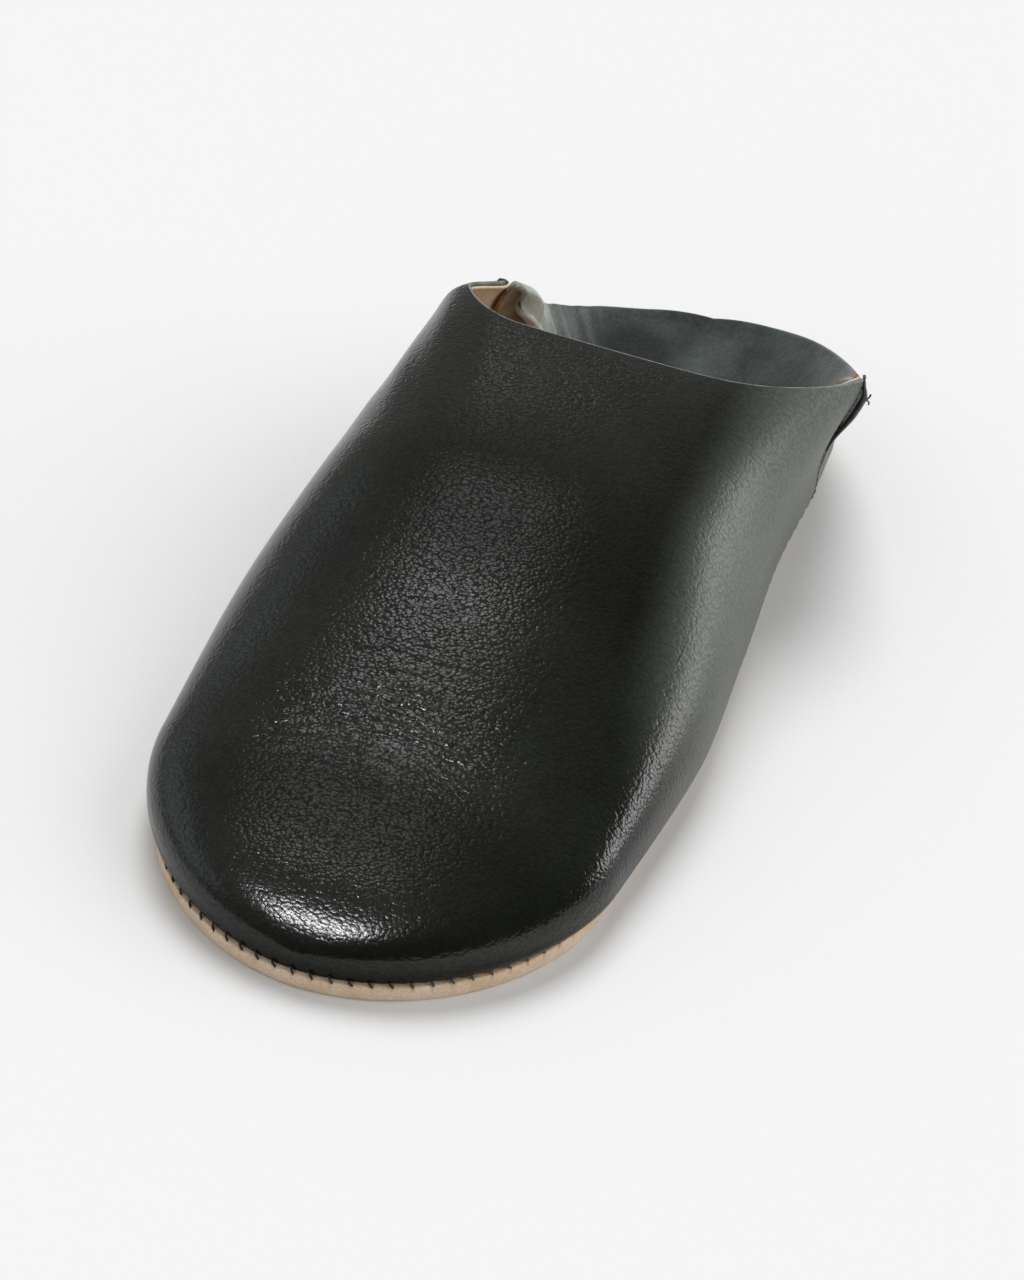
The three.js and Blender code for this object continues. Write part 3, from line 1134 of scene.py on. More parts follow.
@dataclass
class Vamp:
    """The front of the upper, from the left seam round the toe to the right seam."""

    last: Last
    stitch_pitch: float = STITCH_PITCH
    stations_per_stitch: int = 4
    leather: float = 1.1
    lining: float = 0.7
    tuck_rows: int = 12
    body_rows: int = 170
    row_power: float = 2.2
    lining_stations: int = 90
    lining_rows: int = 70
    lining_reach: float = 0.995
    shoulder_fold: float = 0.1
    flank_hollow: float = 0.35
    stitch_swell: float = 0.42
    crease_width: float = 0.5
    crease_fade: float = 12.0
    crease_arch: float = 0.0052
    # Flex creases across the toe: the back where each crosses the middle, its ends, and its depth.
    creases: Table = Table(
        key=(0, 1, 2, 3, 4, 5, 6, 7, 8, 9, 10),
        columns={
            "back": (39.0, 42.5, 45.5, 48.0, 50.5, 53.0, 55.5, 58.0, 61.0, 64.5, 69.0),
            "left": (-24.0, -30.0, -20.0, -36.0, -38.0, -34.0, -40.0, -28.0, -36.0, -22.0, -26.0),
            "right": (6.0, 10.0, 22.0, 2.0, 26.0, 30.0, 8.0, 34.0, 20.0, 30.0, 24.0),
            "depth": (0.04, 0.07, 0.06, 0.10, 0.12, 0.10, 0.13, 0.08, 0.10, 0.06, 0.05),
        },
    )

    def station_backs(self) -> np.ndarray:
        """Backs of the feather stations of one side, a whole number of them to each stitch."""
        reach = self.last.edge_points(1.0, 1.0, self.last.seam_back, 400)
        length = float(np.linalg.norm(np.diff(reach, axis=0), axis=1).sum())
        count = round(length / self.stitch_pitch) * self.stations_per_stitch
        return self.last.edge_points(1.0, 1.0, self.last.seam_back, count)[:, 1]

    def rows_gone(self, rows: int) -> np.ndarray:
        """How far each row has gone from the widest line (0) to the throat (1).

        Args:
            rows: Number of row steps.

        Returns:
            The share gone at each row, closest together low on the wall and over the creases.
        """
        gone = np.linspace(0.0, 1.0, 4000)
        even = gone ** (1.0 / self.row_power)
        fine = ease((gone - 0.12) / 0.08) * ease((0.52 - gone) / 0.1)
        extra = np.concatenate([[0.0], np.cumsum((fine[1:] + fine[:-1]) / 2)])
        walked = even + 0.75 * extra / extra[-1]
        return np.interp(np.linspace(0.0, walked[-1], rows + 1), walked, gone)

    def lines(self, share: np.ndarray, back: np.ndarray, tuck: int, gone: np.ndarray) -> np.ndarray:
        """Feather-to-throat lines of the vamp's outside.

        Args:
            share: Where each line starts: -1 left seam, 0 toe, 1 right seam.
            back: Back of each line's foot.
            tuck: Rows in the tuck under the widest line.
            gone: Share gone from the widest line to the throat at each row above it.

        Returns:
            Points of across, back and up, shape (lines, rows, 3).
        """
        last = self.last
        foot = last.outline_half(back, last.feather_inset)[:, None]
        wide = last.widest_half(back)[:, None]
        wide_up = last.widest_up(back)[:, None]
        start = back[:, None]
        turn = (1.0 - np.arange(tuck) / tuck) * last.tuck_turn
        low_x = wide - (wide - foot) * (1 - np.cos(turn)) / (1 - math.cos(last.tuck_turn))
        low_z = wide_up - (wide_up - last.feather_up) * np.sin(turn) / math.sin(last.tuck_turn)
        across = last.corner_across * np.abs(share)[:, None] ** 0.8
        throat = (across / last.corner_across) ** last.throat_power
        throat_back = last.throat_middle + (last.seam_back - last.throat_middle) * throat
        x = wide + (across - wide) * gone
        y = start + (throat_back - start) * gone
        z = last.crown_up(x, y)
        x = np.concatenate([low_x, x], axis=1)
        y = np.concatenate([np.broadcast_to(start, low_x.shape), y], axis=1)
        z = np.concatenate([low_z, z], axis=1)
        side = np.sign(share)[:, None]
        return np.stack([last.sway(side * x, y, z), y, z], axis=2)

    def flexed(self, x: np.ndarray, y: np.ndarray, z: np.ndarray) -> np.ndarray:
        """The flex creases across the toe, each a trough with a low ridge behind it.

        Args:
            x: Distances across.
            y: Distances back.
            z: Heights.

        Returns:
            Millimetres outward at each point.
        """
        proud = np.zeros(x.shape)
        columns = (self.creases.columns[name] for name in ("back", "left", "right", "depth"))
        for row, (back, left, right, depth) in enumerate(zip(*columns)):
            waver = 0.5 * np.sin(x * 0.33 + row * 1.7)
            line = back + 0.02 * x - self.crease_arch * x**2 + waver
            away = (y - line) / self.crease_width
            ends = ease((x - left) / self.crease_fade) * ease((right - x) / self.crease_fade)
            inside = ends * ease((z - 18.0) / 6.0)
            trough = -np.exp(-(away**2)) + 0.5 * np.exp(-((away - 1.7) ** 2) / 0.8)
            proud += 1.2 * depth * inside * trough
        return proud

    def relief(self, points: np.ndarray, stations: np.ndarray) -> np.ndarray:
        """How far the leather stands proud of the last, by creases, sags and stitch dimples.

        Args:
            points: The smooth outside.
            stations: Number of each line, counted from the toe.

        Returns:
            Millimetres outward at each point.
        """
        x, y, z = points[..., 0], points[..., 1], points[..., 2]
        proud = self.flexed(x, y, z)
        # Soft standing folds on the left shoulder
        shoulder = ease((-8.0 - x) / 14.0) * ease((y - 118.0) / 30.0) * ease((z - 22.0) / 10.0)
        proud += self.shoulder_fold * shoulder * np.sin((x * 0.55 + y * 0.2 + z * 0.35) * 0.9)
        # A long shallow hollow down the right flank
        flank = np.exp(-(((x - 45.0) / 9.0) ** 2)) * np.exp(-(((y - 104.0) / 42.0) ** 2))
        proud -= self.flank_hollow * flank * ease((z - 12.0) / 10.0)
        # Between stitches the leather's foot swells a little; at each stitch it is drawn in
        phase = stations[:, None] / self.stations_per_stitch * 2.0 * math.pi
        low = ease((self.last.widest_up(y) - 1.5 - z) / 4.0)
        proud += self.stitch_swell * low * (-np.cos(phase) - 0.2)
        return proud

    def grid(self) -> np.ndarray:
        """The finished outside, with its creases, as lines from the left seam to the right."""
        backs = self.station_backs()
        half = len(backs) - 1
        number = np.arange(-half, half + 1)
        gone = self.rows_gone(self.body_rows)
        points = self.lines(number / half, backs[np.abs(number)], self.tuck_rows, gone)
        proud = self.relief(points, number)
        return points + grid_normals(points) * proud[..., None]

    def build(self, face: Material, edge: Material) -> Object:
        """Builds the vamp's leather.

        Args:
            face: Finish of the glazed face.
            edge: Finish of the cut edge and the flesh side.

        Returns:
            The piece, standing for the CAD upper.
        """
        sheet = Sheet(self.grid(), self.leather, inner_step=12, foot_rows=24)
        return settle(sheet.build("vamp", [face, edge]), "glazed_leather", "upper")

    def build_lining(self, finish: Material) -> Object:
        """Builds the lining, glued behind the vamp and cut just short of its edge.

        Args:
            finish: Finish of the lining.

        Returns:
            The piece.
        """
        half = self.lining_stations
        number = np.arange(-half, half + 1)
        backs = self.last.edge_points(1.0, 1.0, self.last.seam_back, half)[:, 1]
        gone = np.linspace(0.0, 1.0, self.lining_rows + 1) ** self.row_power * self.lining_reach
        points = self.lines(number / half, backs[np.abs(number)], 6, gone)
        sheet = Sheet(points, self.lining, inner_step=1, outer_depth=self.leather + 0.05)
        return settle(sheet.build("vamp_lining", [finish]), "lining_leather")

    def seam_path(self, side: Side, depth: float, count: int) -> tuple[np.ndarray, np.ndarray]:
        """A line down a side seam, from the corner to the feather, with its outward way.

        Args:
            side: Which seam.
            depth: How far inside the leather's face.
            count: Number of steps.

        Returns:
            Points and outward unit vectors.
        """
        # A line just in front of the seam's own gives the way along the leather
        share = np.array([side.value * 0.985, float(side.value)])
        back = np.array([self.last.seam_back - 1.5, self.last.seam_back])
        gone = np.linspace(0.0, 1.0, count) ** self.row_power
        points = self.lines(share, back, count // 4, gone)
        ahead = points[1] - points[0]
        normals = unit(np.cross(ahead, np.gradient(points[1], axis=0)))
        normals *= np.sign(normals[count // 2, 0]) * side.value
        return (points[1] - normals * depth)[::-1], normals[::-1]


# ---------------------------------------------------------------------------------------------
# The quarter: the heel band, folded down and inward
# ---------------------------------------------------------------------------------------------


@dataclass
class Quarter:
    """The heel band, from the right seam round the heel to the left seam, with its flap."""

    last: Last
    vamp: Vamp
    leather: float = 1.5
    roll: float = 2.8
    inset: float = 1.3
    lap: float = -0.3
    half_stations: int = 150
    wall_rows: int = 30
    span_rows: int = 11
    # Share of the wall's rows that end where the leather starts to roll over
    roll_start: float = 11.0 / 12.0
    left_gather: float = 0.36
    right_gather: float = 0.3
    flap_wave: float = 0.25
    wall_wave: float = 0.14
    folds: Table = Table(
        key=(0.0, 0.08, 0.18, 0.38, 0.59, 0.8, 1.0),
        columns={
            "rim_right": (49.4, 44.6, 38.8, 28.5, 21.5, 15.5, 11.4),
            "rim_left": (50.6, 45.4, 37.6, 24.5, 15.5, 11.6, 11.4),
            "lean_right": (1.0, 0.93, 0.86, 0.68, 0.42, 0.2, 0.12),
            "lean_left": (1.0, 1.3, 1.1, 0.5, 0.28, 0.16, 0.12),
            "edge_share": (0.78, 0.76, 0.72, 0.58, 0.44, 0.24, 0.0),
            "edge_back": (185.0, 190.0, 194.0, 200.0, 203.5, 204.5, 204.5),
            "edge_up": (42.0, 33.0, 25.0, 14.5, 9.8, 8.7, 8.6),
        },
    )

    def profile(self, side: Side) -> np.ndarray:
        """The wall at a seam as offsets out from and up from the feather, foot to top.

        Args:
            side: Which seam.

        Returns:
            Rows of out and up; the last row is the corner.
        """
        power = self.vamp.row_power
        roll_start = self.roll_start**power
        gone = np.append(np.linspace(0.0, 1.0, self.wall_rows) ** power * roll_start, 1.0)
        back = np.array([self.last.seam_back])
        line = self.vamp.lines(np.array([float(side.value)]), back, 6, gone)[0]
        foot = self.last.outline_half(back, self.last.feather_inset)[0]
        return np.stack([np.abs(line[:, 0]) - foot, line[:, 2] - self.last.feather_up], axis=1)

    def side_lines(self, side: Side) -> np.ndarray:
        """Feather-to-flap-edge lines of one side, from its seam to the middle of the heel.

        Args:
            side: Which side.

        Returns:
            Points of across, back and up, shape (lines, rows, 3).
        """
        at = np.linspace(0.0, 1.0, self.half_stations + 1)
        start, end = self.last.seam_back - self.lap, self.last.length - self.inset
        stations = self.last.edge_points(self.inset, start, end, self.half_stations)
        tangent = unit(np.gradient(stations, axis=0))
        outward = np.stack([tangent[:, 1] * side.value, -tangent[:, 0]], axis=1)
        outward[-1] = (0.0, 1.0)
        own, other = self.profile(side), self.profile(Side(-side.value))
        evened = 0.5 * ease(at)[:, None]
        out = own[None, :, 0] + (other[None, :, 0] - own[None, :, 0]) * evened
        out = out * self.folds.along(f"lean_{side.name.lower()}", at)[:, None]
        rim = self.folds.along(f"rim_{side.name.lower()}", at)[:, None]
        up = own[None, :, 1] * (rim - self.roll - self.last.feather_up) / own[-1, 1]
        x = stations[:, :1] * side.value + outward[:, :1] * out
        y = stations[:, 1:] + outward[:, 1:] * out
        wall = np.stack([x, y, self.last.feather_up + up], axis=2)
        top = wall[:, -1]
        names = ("edge_share", "edge_back", "edge_up")
        share, back, height = (self.folds.along(name, at) for name in names)
        edge = np.stack([top[:, 0] * share, back, height], axis=1)
        return np.concatenate([wall[:, :-2], self.fold(wall[:, -2], top, edge)], axis=1)

    def fold(self, before: np.ndarray, top: np.ndarray, edge: np.ndarray) -> np.ndarray:
        """Rolls over the rim from the wall's top and lies down to the flap's free edge.

        Args:
            before: The wall's last points.
            top: The wall's tops.
            edge: The flap's free edge.

        Returns:
            Points from before to edge, shape (lines, rows, 3).
        """
        inward = (edge - top) * np.array([1.0, 1.0, 0.0])
        reach = np.linalg.norm(inward, axis=1, keepdims=True)
        inward = unit(inward)
        step = np.minimum(self.roll, reach * 0.34)
        crest = top + inward * step
        crest[:, 2] += self.roll
        shoulder = top + inward * step * 2.1
        drop = crest[:, 2] - edge[:, 2]
        shoulder[:, 2] = crest[:, 2] - np.minimum(self.roll * 0.7, drop * 0.4)
        lap = top + (edge - top) * 0.55
        lap[:, 2] = edge[:, 2] + (shoulder[:, 2] - edge[:, 2]) * 0.22
        controls = np.stack([before, top, crest, shoulder, lap, edge])
        return np.moveaxis(curve_through(controls, self.span_rows), 0, 1)

    def relief(self, points: np.ndarray) -> np.ndarray:
        """How far the soft flap stands proud, by the wrinkles that the fold pushes up.

        Args:
            points: The smooth outside.

        Returns:
            Millimetres along the outside's normal at each point.
        """
        lines, rows = points.shape[:2]
        line = np.linspace(-1.0, 1.0, lines)[:, None]
        row = np.linspace(0.0, 1.0, rows)[None, :]
        flap = ease((row - 0.55) / 0.22) * ease((1.02 - row) / 0.1)
        bend = line + 0.03 * np.sin(row * 7.0)
        # Close gathers near the left corner, in two widths
        left = ease((line - 0.32) / 0.2) * ease((0.93 - line) / 0.12)
        folds = np.sin(bend * 62.0) + 0.55 * np.sin(bend * 101.0 + 1.3 + row * 2.0)
        proud = self.left_gather * left * flap * folds
        # Fewer near the right corner
        right = ease((-0.62 - line) / 0.2) * ease((0.99 + line) / 0.06)
        proud += self.right_gather * right * flap * np.sin(bend * 58.0 + row * 3.0)
        # Slow waves where the flap lies over the middle of the heel, and down the outer wall
        middle = np.exp(-((line / 0.4) ** 2)) * flap
        proud += self.flap_wave * middle * np.sin(line * 17.0 + row * 5.0) * ease((row - 0.5) / 0.3)
        wall = ease((0.32 - row) / 0.1) * ease((row - 0.03) / 0.05) * ease((1.0 - abs(line)) / 0.1)
        proud += self.wall_wave * wall * np.sin(line * 34.0 + row * 9.0)
        return proud

    def grid(self) -> np.ndarray:
        """The finished outside as lines from the right seam to the left seam."""
        right = self.side_lines(Side.RIGHT)
        left = self.side_lines(Side.LEFT)
        points = np.concatenate([right, left[-2::-1]])
        return points + grid_normals(points) * self.relief(points)[..., None]

    def build(self, face: Material, edge: Material) -> Object:
        """Builds the heel band with its folded flap.

        Args:
            face: Finish of the soft outside.
            edge: Finish of the flesh side.

        Returns:
            The piece, standing for the CAD upper.
        """
        sheet = Sheet(self.grid(), self.leather, inner_step=2)
        return settle(sheet.build("quarter", [face, edge]), "glazed_leather", "upper")


# ---------------------------------------------------------------------------------------------
# Sole and insole
# ---------------------------------------------------------------------------------------------


@dataclass
class Plate:
    """A flat leather plate cut to the sole's outline, built as rings from middle to middle."""

    last: Last
    points: int
    inset: float
    low: float
    high: float
    round_low: float
    round_high: float
    edge_rows: int = 8
    # Where the rings of each face lie, from the middle line (0) to the edge (1)
    shares: Column = (0.0, 0.12, 0.3, 0.5, 0.68, 0.82, 0.92)
    middle_ends: tuple[float, float] = (52.0, 192.0)
    half_width: float = 48.0

    def profile(self) -> list[tuple[float, float]]:
        """Inset and height of each ring of the edge, from the lower face to the upper one."""
        turns = [(1 - math.sin(t), 1 - math.cos(t)) for t in np.linspace(0.0, math.pi / 2.0, 5)]
        start, end = self.low + self.round_low, self.high - self.round_high
        steps = range(1, self.edge_rows)
        rings = [(self.round_low * a, self.low + self.round_low * b) for a, b in turns]
        rings += [(0.0, start + (end - start) * row / self.edge_rows) for row in steps]
        rings += [(self.round_high * b, end + self.round_high * (1 - a)) for a, b in turns]
        return rings

    def build(
        self,
        name: str,
        finish: Material,
        shape: Callable[[np.ndarray, np.ndarray], np.ndarray],
    ) -> Object:
        """Builds the plate.

        Args:
            name: The piece's name.
            finish: Its leather.
            shape: Moves the points, given them and their distance round the edge in millimetres.

        Returns:
            The plate's object.
        """
        loop = self.last.ring(self.inset, self.points)
        spine = np.stack([np.zeros(len(loop)), np.clip(loop[:, 1], *self.middle_ends)], axis=1)
        step = np.linalg.norm(np.roll(loop, -1, axis=0) - loop, axis=1)
        round_edge = np.concatenate([[0.0], np.cumsum(step)[:-1]])
        rings = [(share, self.low) for share in self.shares]
        rings += [(1.0 - inset / self.half_width, up) for inset, up in self.profile()]
        rings += [(share, self.high) for share in reversed(self.shares)]
        levels = []
        for share, up in rings:
            flat = spine + (loop - spine) * share
            levels.append(np.column_stack([flat, np.full(len(loop), up)]))
        points = shape(np.array(levels), round_edge)
        faces = ring_faces(len(rings), len(loop))
        piece = new_piece(name, points.reshape(-1, 3), faces, [finish])
        close_seams(piece)
        return piece


def close_seams(piece: Object) -> None:
    """Merges the doubled points of a plate's middle lines and drops the faces that collapse.

    Args:
        piece: The plate's object.
    """
    work = bmesh.new()
    work.from_mesh(piece.data)
    bmesh.ops.remove_doubles(work, verts=work.verts, dist=0.01 * MM)
    bmesh.ops.dissolve_degenerate(work, edges=work.edges, dist=0.001 * MM)
    work.to_mesh(piece.data)
    work.free()
    piece.data.update()


@dataclass
class Soles:
    """The outsole and the insole."""

    last: Last
    stitch_pitch: float = STITCH_PITCH
    nick: float = 0.55
    nick_drop: float = 0.35
    heel_tread: float = 0.55
    ball_tread: float = 0.45

    def shape_outsole(self, points: np.ndarray, round_edge: np.ndarray) -> np.ndarray:
        """Notches the sole's upper edge at each stitch and sways its side a little.

        Args:
            points: Rings of points, shape (rings, points, 3).
            round_edge: Distance of each point round the edge.

        Returns:
            The moved points.
        """
        moved = points.copy()
        total = round_edge[-1] + (round_edge[1] - round_edge[0])
        count = round(total / self.stitch_pitch)
        phase = round_edge / total * count * 2.0 * math.pi
        high = ease((points[..., 2] - 1.9) / 1.7)
        notch = np.clip(np.cos(phase), 0.0, 1.0) ** 6 * high
        rim = ease((np.linalg.norm(points[..., :2] - points[-1, :, :2], axis=2) - 40.0) / 8.0)
        ahead = points[:, :, :2] - np.array([0.0, 122.0])
        pull = unit(ahead) * (notch * rim * self.nick)[..., None]
        moved[..., :2] -= pull
        moved[..., 2] -= notch * rim * self.nick_drop
        wave = 0.12 * np.sin(round_edge * 0.11) + 0.06 * np.sin(round_edge * 0.37 + 1.0)
        edge = (points[..., 2] > 0.3) & (points[..., 2] < self.last.sole - 0.2)
        moved[..., :2] += unit(ahead) * (wave * edge * 0.5)[..., None]
        return moved

    def shape_insole(self, points: np.ndarray, _round_edge: np.ndarray) -> np.ndarray:
        """Presses a shallow tread into the insole under the heel and the ball of the foot.

        Args:
            points: Rings of points, shape (rings, points, 3).
            _round_edge: Distance of each point round the edge, which the tread does not need.

        Returns:
            The moved points.
        """
        moved = points.copy()
        x, y = points[..., 0], points[..., 1]
        heel = np.exp(-((x / 20.0) ** 2) - ((y - 205.0) / 24.0) ** 2)
        ball = np.exp(-((x / 28.0) ** 2) - ((y - 75.0) / 30.0) ** 2)
        upper = points[..., 2] > 5.5
        moved[..., 2] -= upper * (self.heel_tread * heel + self.ball_tread * ball)
        return moved

    def build(self, sole: Material, insole: Material) -> None:
        """Builds the outsole and the insole.

        Args:
            sole: Leather of the outsole.
            insole: Leather of the insole.
        """
        outsole = Plate(
            self.last,
            points=1400,
            inset=0.0,
            low=0.0,
            high=self.last.sole,
            round_low=0.6,
            round_high=0.5,
        )
        settle(outsole.build("sole_plate", sole, self.shape_outsole), "sole_leather", "outsole")
        inner = Plate(
            self.last,
            points=480,
            inset=4.0,
            low=4.3,
            high=6.1,
            round_low=0.3,
            round_high=0.5,
            edge_rows=3,
        )
        settle(inner.build("insole_plate", insole, self.shape_insole), "insole_leather", "insole")


# ---------------------------------------------------------------------------------------------
# Stitching
# ---------------------------------------------------------------------------------------------


@dataclass
class Stitching:
    """Thread laid by Geometry Nodes: one short arc at each step along a path, in millimetres."""

    pitch: float
    thread: float
    reach: float
    rise: float
    depth: float
    lean: float
    jitter: float
    seed: int

    def tree(self, finish: Material) -> NodeTree:
        """Builds the node tree that lays the thread.

        Args:
            finish: The thread's material.

        Returns:
            The tree, with a named input for each size.
        """
        tree = bpy.data.node_groups.new("laid_thread", "GeometryNodeTree")
        face = tree.interface
        face.new_socket("Path", in_out="INPUT", socket_type="NodeSocketGeometry")
        for name in ("Pitch", "Thread Radius", "Reach", "Rise", "Depth", "Lean", "Jitter"):
            face.new_socket(name, in_out="INPUT", socket_type="NodeSocketFloat")
        face.new_socket("Seed", in_out="INPUT", socket_type="NodeSocketInt")
        face.new_socket("Stitches", in_out="OUTPUT", socket_type="NodeSocketGeometry")
        add = partial(add_node, tree)
        given = {socket.name: socket for socket in add("NodeGroupInput").outputs}
        path = add("GeometryNodeMeshToCurve", {"Mesh": given["Path"]})
        steps = add(
            "GeometryNodeResampleCurve", {"Curve": path, "Length": given["Pitch"]}, mode="LENGTH"
        )
        tangent = add("GeometryNodeInputTangent")
        outward = add(
            "GeometryNodeInputNamedAttribute", {"Name": "outward"}, data_type="FLOAT_VECTOR"
        )
        ahead = add("FunctionNodeAlignRotationToVector", {"Vector": tangent}, axis="X")
        faced = add(
            "FunctionNodeAlignRotationToVector",
            {"Rotation": ahead, "Vector": outward},
            axis="Z",
            pivot_axis="X",
        )
        laid = add(
            "GeometryNodeInstanceOnPoints",
            {
                "Points": steps,
                "Instance": self.arc(add, given),
                "Rotation": self.jittered(add, faced, given),
            },
        )
        real = add("GeometryNodeRealizeInstances", {"Geometry": laid})
        dressed = add("GeometryNodeSetMaterial", {"Geometry": real, "Material": finish})
        add("NodeGroupOutput", {"Stitches": dressed})
        return tree

    def jittered(self, add: AddNode, rotation: Node, given: Given) -> Node:
        """Turns each stitch a little, as a hand does.

        Args:
            add: What adds a node to the tree.
            rotation: The stitch's own rotation.
            given: The tree's named inputs.

        Returns:
            The turned rotation.
        """
        most = given["Jitter"]
        least = add("ShaderNodeMath", {0: most, 1: -1.0}, operation="MULTIPLY")
        low, high = (
            add("ShaderNodeCombineXYZ", {axis: turn for axis in "XYZ"}) for turn in (least, most)
        )
        amount = add(
            "FunctionNodeRandomValue",
            {0: low, 1: high, "Seed": given["Seed"]},
            data_type="FLOAT_VECTOR",
        )
        turn = add("FunctionNodeEulerToRotation", {"Euler": amount})
        both = {"Rotation": rotation, "Rotate By": turn}
        return add("FunctionNodeRotateRotation", both, rotation_space="LOCAL")

    def arc(self, add: AddNode, given: Given) -> Node:
        """One stitch: an arc of thread with both ends sunk in the leather.

        Args:
            add: What adds a node to the tree.
            given: The tree's named inputs.

        Returns:
            The stitch's mesh.
        """
        depth, lean, reach = (
            add("ShaderNodeMath", {0: given[name], 1: -1.0}, operation="MULTIPLY")
            for name in ("Depth", "Lean", "Reach")
        )
        start = add("ShaderNodeCombineXYZ", {"X": lean, "Y": given["Reach"], "Z": depth})
        top = add("ShaderNodeCombineXYZ", {"Z": given["Rise"]})
        end = add("ShaderNodeCombineXYZ", {"X": given["Lean"], "Y": reach, "Z": depth})
        bow = add(
            "GeometryNodeCurveQuadraticBezier",
            {"Resolution": 9, "Start": start, "Middle": top, "End": end},
        )
        ring = add(
            "GeometryNodeCurvePrimitiveCircle", {"Resolution": 8, "Radius": given["Thread Radius"]}
        )
        swept = {"Curve": bow, "Profile Curve": ring, "Fill Caps": True}
        return add("GeometryNodeCurveToMesh", swept)

    def build(
        self, name: str, path: np.ndarray, outward: np.ndarray, finish: Material, closed: bool
    ) -> Object:
        """Lays the thread along a path and bakes it to a plain mesh.

        Args:
            name: The piece's name.
            path: Points of the path, in the shoe's millimetres.
            outward: The leather's outward way at each point.
            finish: The thread's material.
            closed: Whether the path joins its own start.

        Returns:
            The stitches.
        """
        mesh = bpy.data.meshes.new(f"{name}_path")
        count = len(path)
        edges = [(i, (i + 1) % count) for i in range(count if closed else count - 1)]
        mesh.from_pydata(to_frame(path).tolist(), edges, [])
        ways = mesh.attributes.new("outward", "FLOAT_VECTOR", "POINT")
        ways.data.foreach_set("vector", outward.astype(np.float32).ravel())
        holder = bpy.data.objects.new(f"{name}_path", mesh)
        bpy.context.scene.collection.objects.link(holder)
        tree = self.tree(finish)
        modifier = holder.modifiers.new("laid_thread", "NODES")
        modifier.node_group = tree
        sizes = {
            "Pitch": self.pitch * MM,
            "Thread Radius": self.thread * MM / 2.0,
            "Reach": self.reach * MM,
            "Rise": self.rise * MM,
            "Depth": self.depth * MM,
            "Lean": self.lean * MM,
            "Jitter": self.jitter,
            "Seed": self.seed,
        }
        for item in tree.interface.items_tree:
            if item.in_out == "INPUT" and item.name in sizes:
                modifier[item.identifier] = sizes[item.name]
        bpy.context.view_layer.update()
        graph = bpy.context.evaluated_depsgraph_get()
        baked = bpy.data.meshes.new_from_object(holder.evaluated_get(graph))
        bpy.data.objects.remove(holder)
        baked.name = name
        baked.polygons.foreach_set("use_smooth", [True] * len(baked.polygons))
        baked.validate()
        piece = bpy.data.objects.new(name, baked)
        bpy.context.scene.collection.objects.link(piece)
        return settle(piece, "waxed_thread")


@dataclass(frozen=True)
class Knot:
    """Thread bound over a corner's edge: how far down it runs, how proud it stands, its ends."""

    side: Side
    bound: float
    bulge: float
    ends: tuple[tuple[Triple, ...], ...] = ()


